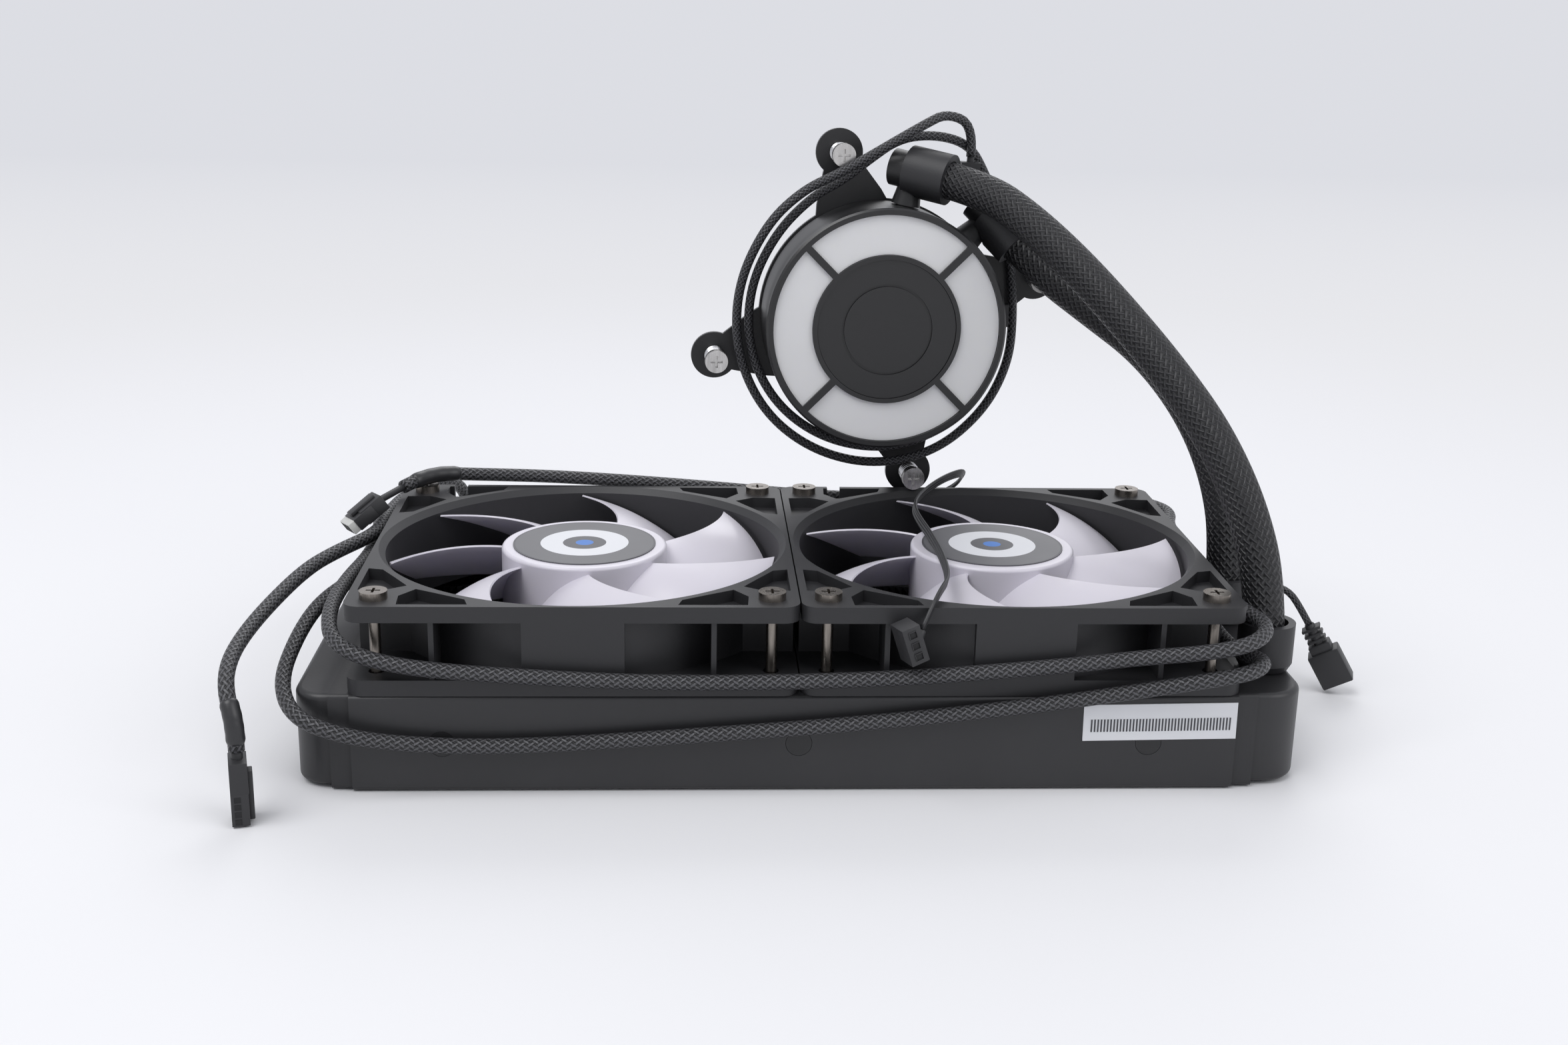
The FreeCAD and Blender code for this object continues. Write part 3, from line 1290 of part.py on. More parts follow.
end, back = plug("plug_front", (30.4, -65.0, 45.4), (0.90, 0.30, 0.30), (-0.26, 0.0, 0.97),
                 (10.4, 8.0, 5.2), 3, (0.42, 0.40, 0.81), (1.2, 2.4))
cord("light_lead_right", [
    gland(fan_x, -39.3), (20.7, 56.5, 39.5), (22.2, 68.5, 42.0), (31.5, 76.5, 41.6),
    (46.0, 75.5, 42.8), (58.5, 72.0, 48.0), (62.0, 64.5, 56.4), (53.5, 56.0, 56.4),
    (45.4, 46.2, 54.2), (40.6, 33.0, 54.0), (39.7, 20.0, 54.0), (41.6, -3.0, 54.0),
    (42.2, -26.0, 54.0), (40.9, -43.0, 54.2), (37.2, -54.6, 55.0), tuple(end + back * 7.6),
    tuple(end)], ribbon_r)

end, back = plug("pump_plug", tuple(PUMP.multVec(Vector(27.5, 49.4, 6.0))), (0.05, 0.0, 1.0),
                 (1.0, 0.05, 0.0), (6.0, 4.4, 7.5), 0, (0.05, 0.0, 1.0), (1.1, 1.6))
cord("pump_lead", [tuple(PUMP.multVec(Vector(*p))) for p in [
    (39.3, GLAND_LOW.value, 7.0), (39.3, -13.0, 7.0), (34.0, -25.0, 7.2), (24.0, -35.0, 7.5),
    (6.0, -42.4, 8.0), (-15.0, -39.6, 8.0), (-32.0, -28.0, 8.0), (-41.3, -10.0, 8.0),
    (-41.3, 10.0, 8.2), (-33.5, 27.0, 9.0), (-22.5, 38.5, 9.5), (-12.8, 43.8, 9.5), (-5.0, 50.0, 9.6),
    (4.5, 56.8, 9.4), (16.5, 57.8, 8.0), (27.5, 54.5, 4.0), (33.5, 45.5, 0.8),
    (39.0, 33.0, 0.2), (43.0, 18.0, 2.6), (44.6, 0.0, 3.4), (43.4, -15.0, 5.0),
    (35.5, -30.5, 6.6), (20.0, -43.5, 7.6), (0.0, -47.6, 8.0), (-20.0, -42.6, 8.2),
    (-36.0, -30.0, 8.4), (-45.0, -11.0, 8.6), (-45.2, 10.5, 9.2), (-36.8, 30.0, 11.4),
    (-25.5, 41.0, 12.6), (-14.0, 46.4, 13.4), (-4.5, 52.0, 14.0), (5.0, 57.6, 13.8),
    (11.5, 61.2, 12.9), (18.5, 64.5, 10.4)]] + [tuple(end + back * 9.8), tuple(end)], pump_lead_r)

sticker = doc.addObject("Part::Box", "Sticker")
bind(sticker, Length=Size(42.0), Width=D.label_thick, Height=Size(10.4))
sticker.Placement = FreeCAD.Placement(
    Vector(76.8, -(D.rad_wide * half + D.label_thick).value, 14.2), FreeCAD.Rotation(Y, -0.8))
node(sticker, "plate_sticker")

# Checks, then one file for each node

doc.recompute()
faults = []
for obj in doc.Objects:
    if "Invalid" in obj.State or "Error" in obj.State:
        faults.append(f"{obj.Name}: {obj.State}")
for obj in NODES:
    if obj.Shape.isNull() or not obj.Shape.isValid():
        faults.append(f"{obj.Label}: no valid shape")
if faults:
    raise RuntimeError("; ".join(faults))
os.makedirs("parts", exist_ok=True)
for obj in NODES:
    obj.Shape.exportStep(f"parts/{obj.Label}.step")
print(len(NODES), "nodes written")
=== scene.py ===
import logging
import math
from dataclasses import dataclass, field
from enum import Enum
from typing import Optional, Sequence

import bmesh
import bpy
import numpy as np
from mathutils import Matrix, Vector


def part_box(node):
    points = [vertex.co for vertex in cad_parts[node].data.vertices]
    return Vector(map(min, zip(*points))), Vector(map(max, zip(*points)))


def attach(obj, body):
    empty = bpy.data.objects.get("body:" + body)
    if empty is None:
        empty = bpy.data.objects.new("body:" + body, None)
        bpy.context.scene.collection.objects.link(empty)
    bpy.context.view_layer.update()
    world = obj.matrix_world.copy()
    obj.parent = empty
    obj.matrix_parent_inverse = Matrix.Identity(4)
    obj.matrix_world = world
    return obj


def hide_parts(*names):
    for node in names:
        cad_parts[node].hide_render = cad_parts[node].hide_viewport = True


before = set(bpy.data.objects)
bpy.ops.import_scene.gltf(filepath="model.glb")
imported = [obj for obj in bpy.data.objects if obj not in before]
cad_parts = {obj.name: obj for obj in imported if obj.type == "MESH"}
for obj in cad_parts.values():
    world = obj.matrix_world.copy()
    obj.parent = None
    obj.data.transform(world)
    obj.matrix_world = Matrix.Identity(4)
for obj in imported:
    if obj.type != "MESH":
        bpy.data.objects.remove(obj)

LOG = logging.getLogger("liquid_cooler")
ROOT = "cooler"
Point = tuple[float, float, float]
Colour = tuple[float, float, float]
MM = 0.001
CRISP_DEGREES = 35.0

# How far the thin bars and the plugs' window floors, dark with painted shade, are rounded, in millimetres.

PIT_EDGE = 0.02
BAR_EDGE = 0.05

# The cords' routes, in metres: the source's points, with the ends inside what they enter. Those of hose_front
# are moved a few millimetres, to follow the photograph more closely.

ROUTES: dict[str, tuple[Point, ...]] = {
    "hose_front": (
        (0.043, 0.0555, 0.1535), (0.0598, 0.0459, 0.1503), (0.0723, 0.034, 0.142), (0.0845, 0.0215, 0.131),
        (0.096, 0.0095, 0.1186), (0.1075, -0.0031, 0.1049), (0.118, -0.0183, 0.0896),
        (0.1258, -0.0305, 0.0714), (0.1308, -0.037, 0.051), (0.1324, -0.037, 0.029),
    ),
    "hose_rear": (
        (0.0672, 0.0572, 0.1378), (0.0797, 0.0502, 0.1253), (0.0943, 0.041, 0.1149), (0.1096, 0.0296, 0.1042),
        (0.1216, 0.0174, 0.0886), (0.1293, 0.0092, 0.0702), (0.1324, 0.004, 0.0503), (0.1324, 0.004, 0.029),
    ),
    "fan_lead_left": (
        (-0.104, 0.0475, 0.0395), (-0.104, 0.0635, 0.0395), (-0.1176, 0.071, 0.0412), (-0.1298, 0.061, 0.042),
        (-0.1266, 0.045, 0.0418), (-0.125, 0.019, 0.0418), (-0.128, -0.012, 0.0425),
        (-0.1276, -0.039, 0.0424), (-0.1228, -0.057, 0.0402), (-0.108, -0.0628, 0.0368),
        (-0.08, -0.0624, 0.0339), (-0.034, -0.0625, 0.0316), (0.02, -0.0624, 0.0326),
        (0.066, -0.0625, 0.0362), (0.092, -0.0626, 0.0392), (0.107, -0.066, 0.0416),
        (0.1205, -0.0645, 0.0436), (0.128, -0.053, 0.0446), (0.1228, -0.0385, 0.0452),
        (0.1222, -0.013, 0.0456), (0.1223, 0.013, 0.0457), (0.1228, 0.0385, 0.0457), (0.128, 0.053, 0.0459),
        (0.1205, 0.0645, 0.0462), (0.107, 0.066, 0.0465), (0.084, 0.0625, 0.0468), (0.056, 0.0624, 0.047),
        (0.014, 0.0626, 0.0477), (-0.028, 0.0625, 0.0514), (-0.07, 0.0626, 0.0542), (-0.098, 0.0618, 0.055),
        (-0.1122, 0.0532, 0.0576), (-0.1188, 0.044, 0.0555),
    ),
    "fan_lead_right": (
        (0.016, 0.0475, 0.0395), (0.016, 0.0595, 0.0395), (0.0245, 0.0695, 0.038), (0.0405, 0.067, 0.0362),
        (0.066, 0.0625, 0.0354), (0.091, 0.0626, 0.0349), (0.107, 0.066, 0.0346), (0.1205, 0.0645, 0.0344),
        (0.128, 0.053, 0.034), (0.1226, 0.0385, 0.0334), (0.1223, 0.013, 0.0332), (0.1222, -0.015, 0.0331),
        (0.1219, -0.042, 0.0333), (0.1276, -0.0535, 0.0348), (0.1215, -0.065, 0.0358),
        (0.107, -0.0665, 0.0339), (0.094, -0.0628, 0.0302), (0.067, -0.0624, 0.0258),
        (0.022, -0.0625, 0.0207), (-0.03, -0.0625, 0.0167), (-0.079, -0.0624, 0.0135),
        (-0.108, -0.0629, 0.015), (-0.122, -0.0642, 0.0182), (-0.1336, -0.061, 0.0218),
        (-0.1393, -0.048, 0.0264), (-0.1382, -0.03, 0.0324), (-0.1356, -0.012, 0.0359),
        (-0.131, 0.003, 0.0368), (-0.1274, 0.02, 0.035), (-0.1242, 0.042, 0.032), (-0.1229, 0.064, 0.0295),
        (-0.1145, 0.08, 0.014), (-0.105, 0.095, 0.021), (-0.105, 0.095, 0.0415), (-0.1125, 0.079, 0.0485),
        (-0.1215, 0.065, 0.0468), (-0.124, 0.045, 0.0467), (-0.1236, 0.024, 0.0466), (-0.1335, 0.006, 0.046),
        (-0.1396, -0.008, 0.045), (-0.146, -0.031, 0.0412), (-0.1489, -0.05, 0.0386),
        (-0.1486, -0.065, 0.0369), (-0.147, -0.073, 0.0328), (-0.1443, -0.077, 0.0273),
        (-0.1443, -0.077, 0.0193),
    ),
    "light_lead_left": (
        (-0.0993, 0.0475, 0.0395), (-0.0993, 0.058, 0.0395), (-0.0945, 0.0665, 0.036),
        (-0.084, 0.067, 0.0316), (-0.072, 0.0635, 0.0298), (-0.052, 0.0626, 0.0298), (-0.03, 0.0623, 0.0297),
        (0.0, 0.0625, 0.0298), (0.03, 0.0623, 0.0297), (0.06, 0.0625, 0.0296), (0.09, 0.0623, 0.0294),
        (0.117, 0.0629, 0.029), (0.13, 0.065, 0.027), (0.142, 0.06, 0.0234), (0.148, 0.049, 0.0216),
        (0.151, 0.0375, 0.0252), (0.1542, 0.0266, 0.0298), (0.1572, 0.0174, 0.031), (0.1599, 0.0133, 0.0267),
        (0.1629, 0.0127, 0.0216),
    ),
    "light_lead_right": (
        (0.0207, 0.0475, 0.0395), (0.0207, 0.0565, 0.0395), (0.0222, 0.0685, 0.042), (0.0315, 0.0765, 0.0416),
        (0.046, 0.0755, 0.0428), (0.0585, 0.072, 0.048), (0.062, 0.0645, 0.0564), (0.0535, 0.056, 0.0564),
        (0.0454, 0.0462, 0.0542), (0.0406, 0.033, 0.054), (0.0397, 0.02, 0.054), (0.0416, -0.003, 0.054),
        (0.0422, -0.026, 0.054), (0.0409, -0.043, 0.0542), (0.0372, -0.0546, 0.055), (0.0346, -0.061, 0.0535),
        (0.0314, -0.064, 0.0474),
    ),
    "pump_lead": (
        (0.0694, 0.0611, 0.1055), (0.0694, 0.0611, 0.0945), (0.0641, 0.0606, 0.0825),
        (0.0542, 0.0598, 0.0725), (0.0362, 0.0583, 0.0651), (0.0152, 0.0572, 0.0679),
        (-0.0017, 0.0563, 0.0795), (-0.011, 0.0559, 0.0975), (-0.011, 0.0556, 0.1175),
        (-0.0032, 0.0553, 0.1345), (0.0078, 0.0553, 0.146), (0.0175, 0.0558, 0.1513),
        (0.0253, 0.0561, 0.1575), (0.0348, 0.0569, 0.1643), (0.0467, 0.0589, 0.1653), (0.0575, 0.0634, 0.162),
        (0.0633, 0.067, 0.153), (0.0688, 0.0678, 0.1405), (0.0729, 0.0657, 0.1255), (0.0745, 0.0649, 0.1075),
        (0.0734, 0.0633, 0.0925), (0.0656, 0.0613, 0.077), (0.0502, 0.0595, 0.064), (0.0302, 0.058, 0.0599),
        (0.0103, 0.0568, 0.0649), (-0.0057, 0.0557, 0.0775), (-0.0147, 0.0551, 0.0965),
        (-0.0149, 0.0545, 0.118), (-0.0063, 0.0527, 0.1375), (0.005, 0.0521, 0.1485),
        (0.0165, 0.0519, 0.1539), (0.026, 0.0518, 0.1595), (0.0355, 0.0525, 0.1651), (0.042, 0.0537, 0.1687),
        (0.0488, 0.0566, 0.172), (0.0582, 0.0615, 0.1683), (0.0577, 0.0615, 0.1585),
    ),
}

# Each cord's diameter and length, in metres.

CORD_SIZES = {
    "hose_front": (0.0114, 0.1953), "hose_rear": (0.0114, 0.1473), "fan_lead_left": (0.0042, 0.7851),
    "fan_lead_right": (0.0042, 0.8907), "light_lead_left": (0.0022, 0.3175),
    "light_lead_right": (0.0030, 0.2118), "pump_lead": (0.0029, 0.5479),
}


# Shared helpers

class Outline(Enum):
    """How a cord looks across its length."""

    ROUND = "round"
    RIBBON = "ribbon"


class Stiffness(Enum):
    """How much a cord resists bending."""

    STIFF = "stiff"
    MEDIUM = "medium"
    LIMP = "limp"


class FarEnd(Enum):
    """What a cord ends in."""

    OBJECT = "object"
    PLUG = "plug"


def opaque(colour: Colour) -> tuple[float, float, float, float]:
    """The colour with full cover, as a colour socket takes it."""
    return (*colour, 1.0)


def linked(name: str, data: Optional[bpy.types.ID]) -> bpy.types.Object:
    """Makes an object of that name and data, and links it to the scene."""
    obj = bpy.data.objects.new(name, data)
    bpy.context.scene.collection.objects.link(obj)
    return obj


def own(obj: bpy.types.Object, slot: str, *nodes: str) -> bpy.types.Object:
    """Lets a finished piece ride on the cooler's body.

    Args:
        obj: The finished piece, at the origin.
        slot: A material slot's name, not used.
        nodes: CAD nodes it stands for.

    Returns:
        The same object.
    """
    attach(obj, ROOT)
    if nodes:
        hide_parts(*nodes)
    LOG.info("%s: %d faces on %s", obj.name, len(obj.data.polygons), ROOT)
    return obj


def mesh_piece(name: str, points: Sequence, faces: Sequence, material: bpy.types.Material,
               smooth: bool = True) -> bpy.types.Object:
    """Makes an object from points and faces.

    Args:
        name: The piece's name.
        points: Places in metres.
        faces: Tuples of point numbers.
        material: The finish.
        smooth: Whether faces are shaded smoothly.

    Returns:
        The new object, linked to the scene.
    """
    mesh = bpy.data.meshes.new(name)
    mesh.from_pydata([tuple(p) for p in points], [], [tuple(f) for f in faces])
    mesh.materials.append(material)
    if smooth:
        mesh.shade_smooth()
    return linked(name, mesh)


def from_bmesh(name: str, bm: bmesh.types.BMesh, material: bpy.types.Material) -> bpy.types.Object:
    """Turns a bmesh into an object with crisp edges.

    Args:
        name: The piece's name.
        bm: The bmesh, which is freed.
        material: The finish.

    Returns:
        The new object, linked to the scene.
    """
    bmesh.ops.recalc_face_normals(bm, faces=bm.faces)
    mesh = bpy.data.meshes.new(name)
    bm.to_mesh(mesh)
    bm.free()
    mesh.materials.append(material)
    mesh.shade_smooth()
    mesh.set_sharp_from_angle(angle=math.radians(CRISP_DEGREES))
    return linked(name, mesh)


def turned_solid(bm: bmesh.types.BMesh, rows: Sequence[tuple[float, float]], place: Matrix,
                 steps: int) -> None:
    """Adds a turned solid whose rows of radius and height run from axis to axis.

    Args:
        bm: The mesh to add to.
        rows: Radius and height, in metres, both ends on the axis.
        place: Where the solid's axis and foot go.
        steps: Faces around.
    """
    rings = []
    for radius, height in rows:
        angles = [2 * math.pi * i / steps for i in range(steps)] if radius else [0.0]
        rings.append([
            bm.verts.new(place @ Vector((radius * math.cos(a), radius * math.sin(a), height))) for a in angles
        ])
    for low, high in zip(rings, rings[1:]):
        for i in range(steps):
            j = (i + 1) % steps
            corners = [low[i % len(low)], low[j % len(low)], high[j % len(high)], high[i % len(high)]]
            kept = list(dict.fromkeys(corners))
            if len(kept) > 2:
                bm.faces.new(kept)


def block(bm: bmesh.types.BMesh, low: Vector, high: Vector, place: Matrix, edge: float) -> None:
    """Adds a box with rounded edges.

    Args:
        bm: The mesh to add to.
        low: The box's low corner in its own frame, in metres.
        high: Its high corner.
        place: The frame's place.
        edge: How far the edges are rounded.
    """
    made = bmesh.ops.create_cube(bm, size=1.0)["verts"]
    bmesh.ops.scale(bm, vec=high - low, verts=made)
    bmesh.ops.translate(bm, vec=(low + high) / 2, verts=made)
    edges = list({e for v in made for e in v.link_edges})
    result = bmesh.ops.bevel(bm, geom=edges, offset=edge, segments=2, affect="EDGES", profile=0.5)
    made = list({v for f in result["faces"] for v in f.verts} | {v for v in made if v.is_valid})
    bmesh.ops.transform(bm, matrix=place, verts=made)


def travel(points: np.ndarray) -> np.ndarray:
    """How far along a line each of its points lies, in metres."""
    return np.concatenate([[0.0], np.cumsum(np.linalg.norm(np.diff(points, axis=0), axis=1))])


def points_at(line: np.ndarray, gone: np.ndarray, at: np.ndarray) -> np.ndarray:
    """The points of a line at some distances along it.

    Args:
        line: The line's points.
        gone: How far along each of them lies.
        at: The distances to read.

    Returns:
        One point for each distance.
    """
    return np.stack([np.interp(at, gone, line[:, k]) for k in range(3)], axis=1)


# Node groups and finishes

class NodeTools:
    """Adds nodes to one node tree."""

    def __init__(self, tree: bpy.types.NodeTree) -> None:
        """Takes the tree to work in."""
        self.tree = tree

    def fill(self, socket: bpy.types.NodeSocket, value: object) -> None:
        """Links another socket into a socket, or sets a plain value on it.

        Args:
            socket: The input to fill.
            value: A socket or a plain value.
        """
        if isinstance(value, bpy.types.NodeSocket):
            self.tree.links.new(value, socket)
        else:
            socket.default_value = value

    def node(self, kind: str, inputs: Optional[dict] = None, **settings: object) -> bpy.types.Node:
        """Adds a node.

        Args:
            kind: The node's type.
            inputs: Sockets or values for its inputs, by name or number.
            settings: Its properties.

        Returns:
            The node.
        """
        made = self.tree.nodes.new(kind)
        for key, value in settings.items():
            setattr(made, key, value)
        for key, value in (inputs or {}).items():
            self.fill(made.inputs[key], value)
        return made

    def math(self, operation: str, *values: object) -> bpy.types.NodeSocket:
        """Adds a math node on sockets or numbers, and returns its result."""
        return self.node("ShaderNodeMath", dict(enumerate(values)), operation=operation).outputs[0]

    def mixed(self, share: object, first: object, second: object) -> bpy.types.NodeSocket:
        """Mixes two colours.

        Args:
            share: How much of the second colour shows.
            first: The first colour.
            second: The second colour.

        Returns:
            The mixed colour.
        """
        return self.node("ShaderNodeMix", {0: share, 6: first, 7: second}, data_type="RGBA").outputs[2]

    def noise(self, place: object, scale: object, detail: float) -> bpy.types.NodeSocket:
        """Reads a noise texture.

        Args:
            place: Where it is read.
            scale: How fine it is.
            detail: How many finer layers it has.

        Returns:
            The noise, about one half on average.
        """
        inputs = {"Vector": place, "Scale": scale, "Detail": detail}
        return self.node("ShaderNodeTexNoise", inputs).outputs["Fac"]

    def bumped(self, height: object, strength: object, distance: object) -> bpy.types.NodeSocket:
        """Turns a height into a normal.

        Args:
            height: The height.
            strength: How strongly it shows.
            distance: How far a height of one reaches, in metres.

        Returns:
            The normal.
        """
        inputs = {"Height": height, "Strength": strength, "Distance": distance}
        return self.node("ShaderNodeBump", inputs).outputs["Normal"]

    def blend(self, share: object, first: bpy.types.Node, second: bpy.types.Node,
              end: bpy.types.Node) -> None:
        """Mixes two shaders into an output node's surface.

        Args:
            share: How much of the second shader shows.
            first: The first shader.
            second: The second shader.
            end: The output node.
        """
        mix = self.node("ShaderNodeMixShader", {0: share, 1: first.outputs[0], 2: second.outputs[0]})
        self.fill(end.inputs["Surface"], mix.outputs[0])

    def seen_rays(self) -> bpy.types.NodeSocket:
        """The share, 0 or 1, of the rays that show the surroundings: camera, mirror and see-through rays."""
        path = self.node("ShaderNodeLightPath").outputs
        share = self.math("MAXIMUM", path["Is Camera Ray"], path["Is Glossy Ray"])
        return self.math("MAXIMUM", share, path["Is Transmission Ray"])


class GroupBuilder(NodeTools):
    """Builds one shader or geometry node group with named sockets."""

    def __init__(self, name: str, kind: str, inputs: dict[str, tuple[str, object]],
                 outputs: dict[str, str]) -> None:
        """Starts a group.

        Args:
            name: The group's name.
            kind: Its tree type.
            inputs: The kind and first value of each input, by name.
            outputs: The kind of each output, by name.
        """
        super().__init__(bpy.data.node_groups.new(name, kind))
        self.inside = self.node("NodeGroupInput")
        self.outside = self.node("NodeGroupOutput")
        for label, (value_kind, value) in inputs.items():
            kind_name = "NodeSocket" + value_kind
            socket = self.tree.interface.new_socket(label, in_out="INPUT", socket_type=kind_name)
            if value is not None:
                socket.default_value = value
        for label, value_kind in outputs.items():
            self.tree.interface.new_socket(label, in_out="OUTPUT", socket_type="NodeSocket" + value_kind)

    def __getitem__(self, name: str) -> bpy.types.NodeSocket:
        """The input of that name, as the group's nodes read it."""
        return self.inside.outputs[name]

    def give(self, **results: bpy.types.NodeSocket) -> bpy.types.NodeTree:
        """Links the group's outputs.

        Args:
            results: The socket for each output, by name.

        Returns:
            The finished tree.
        """
        for name, socket in results.items():
            self.fill(self.outside.inputs[name], socket)
        return self.tree

    def copies(self, points: bpy.types.NodeSocket, piece: bpy.types.NodeSocket, material: bpy.types.Material,
               turn: Optional[bpy.types.NodeSocket] = None) -> bpy.types.NodeTree:
        """Puts a copy of a piece on every point, as real geometry, and finishes the tree.

        Args:
            points: The points.
            piece: The piece to copy.
            material: Its finish.
            turn: How each copy is turned.

        Returns:
            The geometry node tree.
        """
        inputs = {"Points": points, "Instance": piece}
        if turn is not None:
            inputs["Rotation"] = turn
        spread = self.node("GeometryNodeInstanceOnPoints", inputs)
        real = self.node("GeometryNodeRealizeInstances", {0: spread.outputs[0]})
        dress = self.node("GeometryNodeSetMaterial", {"Geometry": real.outputs[0], "Material": material})
        return self.give(Geometry=dress.outputs[0])


def laid_out(name: str, tree: bpy.types.NodeTree) -> bpy.types.Object:
    """Runs a geometry node tree and turns its result into a plain mesh piece.

    Args:
        name: The piece's name.
        tree: The tree, whose inputs hold the values to use.

    Returns:
        The piece.
    """
    carrier = linked(name + "_carrier", bpy.data.meshes.new(name + "_carrier"))
    modifier = carrier.modifiers.new("layout", "NODES")
    modifier.node_group = tree
    for item in tree.interface.items_tree:
        if item.in_out == "INPUT" and item.socket_type != "NodeSocketGeometry":
            modifier[item.identifier] = item.default_value
    graph = bpy.context.evaluated_depsgraph_get()
    mesh = bpy.data.meshes.new_from_object(carrier.evaluated_get(graph))
    bpy.data.objects.remove(carrier)
    return linked(name, mesh)


SURFACE = {"Colour": "Color", "Roughness": "Float", "Normal": "Vector"}


def grain_group() -> bpy.types.NodeTree:
    """A moulded or coated skin: colour drift, uneven gloss and fine grain.

    Returns:
        The shader node tree.
    """
    broad_scale, worn_power, worn_share, depth = 38.0, 3.0, 0.9, 0.0001
    g = GroupBuilder("Skin grain", "ShaderNodeTree", {
        "Colour": ("Color", None), "Worn colour": ("Color", None), "Roughness": ("Float", 0.5),
        "Gloss drift": ("Float", 0.08), "Grain size": ("Float", 2500.0), "Relief": ("Float", 0.1),
    }, SURFACE)
    place = g.node("ShaderNodeTexCoord").outputs["Object"]
    fine = g.noise(place, g["Grain size"], 2.0)
    broad = g.noise(place, broad_scale, 4.0)
    drift = g.math("MULTIPLY", g.math("SUBTRACT", broad, 0.5), g["Gloss drift"])
    worn = g.math("MULTIPLY", g.math("POWER", broad, worn_power), worn_share)
    return g.give(Colour=g.mixed(worn, g["Colour"], g["Worn colour"]),
                  Roughness=g.math("ADD", g["Roughness"], drift),
                  Normal=g.bumped(fine, g["Relief"], depth))


def turned_group() -> bpy.types.NodeTree:
    """A turned or drawn metal: fine streaks and small stains.

    Returns:
        The shader node tree.
    """
    scale, stretch, dull_power, spread = 900.0, (1.0, 1.0, 0.12), 2.0, 0.3
    relief, depth = 0.25, 0.00004
    g = GroupBuilder("Turned metal", "ShaderNodeTree", {
        "Colour": ("Color", None), "Dull colour": ("Color", None), "Roughness": ("Float", 0.3),
    }, SURFACE)
    place = g.node("ShaderNodeTexCoord").outputs["Object"]
    drawn = g.node("ShaderNodeMapping", {"Vector": place, "Scale": stretch}).outputs["Vector"]
    streak = g.noise(drawn, scale, 3.0)
    uneven = g.math("MULTIPLY", g.math("SUBTRACT", streak, 0.5), spread)
    return g.give(Colour=g.mixed(g.math("POWER", streak, dull_power), g["Colour"], g["Dull colour"]),
                  Roughness=g.math("ADD", g["Roughness"], uneven),
                  Normal=g.bumped(streak, relief, depth))


def braid_group() -> bpy.types.NodeTree:
    """A woven sleeve on a piece whose UV holds metres along and turns around, with painted glints on the
    strands' tops.

    Returns:
        The shader node tree.
    """
    crossing, thread_share, glint_power = 0.35, 0.2, 4.0
    dull, gloss = 0.66, 0.34
    g = GroupBuilder("Braided sleeve", "ShaderNodeTree", {
        "Dark": ("Color", None), "Light": ("Color", None), "Repeats a metre": ("Float", 300.0),
        "Strands around": ("Float", 12.0), "Threads a strand": ("Float", 5.0),
        "Relief": ("Float", 0.8), "Depth": ("Float", 0.0004),
    }, SURFACE)
    run = g.node("ShaderNodeUVMap", uv_map="run").outputs["UV"]
    split = g.node("ShaderNodeSeparateXYZ", {0: run}).outputs
    along = g.math("MULTIPLY", split[0], g["Repeats a metre"])
    around = g.math("MULTIPLY", split[1], g["Strands around"])

    def wave(turns: bpy.types.NodeSocket, repeats: object = 1.0) -> bpy.types.NodeSocket:
        """A sine of whole turns, from nought to one."""
        angle = g.math("MULTIPLY", g.math("MULTIPLY", turns, 2 * math.pi), repeats)
        return g.math("ADD", g.math("MULTIPLY", g.math("SINE", angle), 0.5), 0.5)

    def lift(turns: bpy.types.NodeSocket, above: bpy.types.NodeSocket) -> bpy.types.NodeSocket:
        """The height of one set of strands, higher where it runs above the other."""
        rise = g.math("ADD", g.math("MULTIPLY", above, crossing), 1 - crossing)
        return g.math("MULTIPLY", wave(turns), rise)

    over = g.math("GREATER_THAN", wave(along), 0.5)
    first, second = g.math("ADD", along, around), g.math("SUBTRACT", along, around)
    high, low = lift(first, over), lift(second, g.math("SUBTRACT", 1.0, over))
    top = g.math("GREATER_THAN", high, low)
    threads = g.math("ADD", g.math("MULTIPLY", wave(first, g["Threads a strand"]), top),
                     g.math("MULTIPLY", wave(second, g["Threads a strand"]), g.math("SUBTRACT", 1.0, top)))
    height = g.math("ADD", g.math("MULTIPLY", g.math("MAXIMUM", high, low), 1 - thread_share),
                    g.math("MULTIPLY", threads, thread_share))
    # The light colour on the strands' tops is a painted glint, a painted highlight over the dark sleeve.
    return g.give(Colour=g.mixed(g.math("POWER", height, glint_power), g["Dark"], g["Light"]),
                  Roughness=g.math("SUBTRACT", dull, g.math("MULTIPLY", height, gloss)),
                  Normal=g.bumped(height, g["Relief"], g["Depth"]))


def rings_group() -> bpy.types.NodeTree:
    """A printed ring round a point, over the colour below it.

    Returns:
        The shader node tree.
    """
    g = GroupBuilder("Printed rings", "ShaderNodeTree", {
        "Middle": ("Vector", None), "Inner": ("Float", 0.01), "Outer": ("Float", 0.02),
        "Below": ("Color", None), "Ring": ("Color", None),
    }, {"Colour": "Color"})
    place = g.node("ShaderNodeTexCoord").outputs["Object"]
    flat = g.node("ShaderNodeVectorMath", {0: place, 1: (1.0, 1.0, 0.0)}, operation="MULTIPLY").outputs[0]
    reach = g.node("ShaderNodeVectorMath", {0: flat, 1: g["Middle"]}, operation="DISTANCE").outputs["Value"]
    inside = g.math("MULTIPLY", g.math("GREATER_THAN", reach, g["Inner"]),
                    g.math("LESS_THAN", reach, g["Outer"]))
    return g.give(Colour=g.mixed(inside, g["Below"], g["Ring"]))


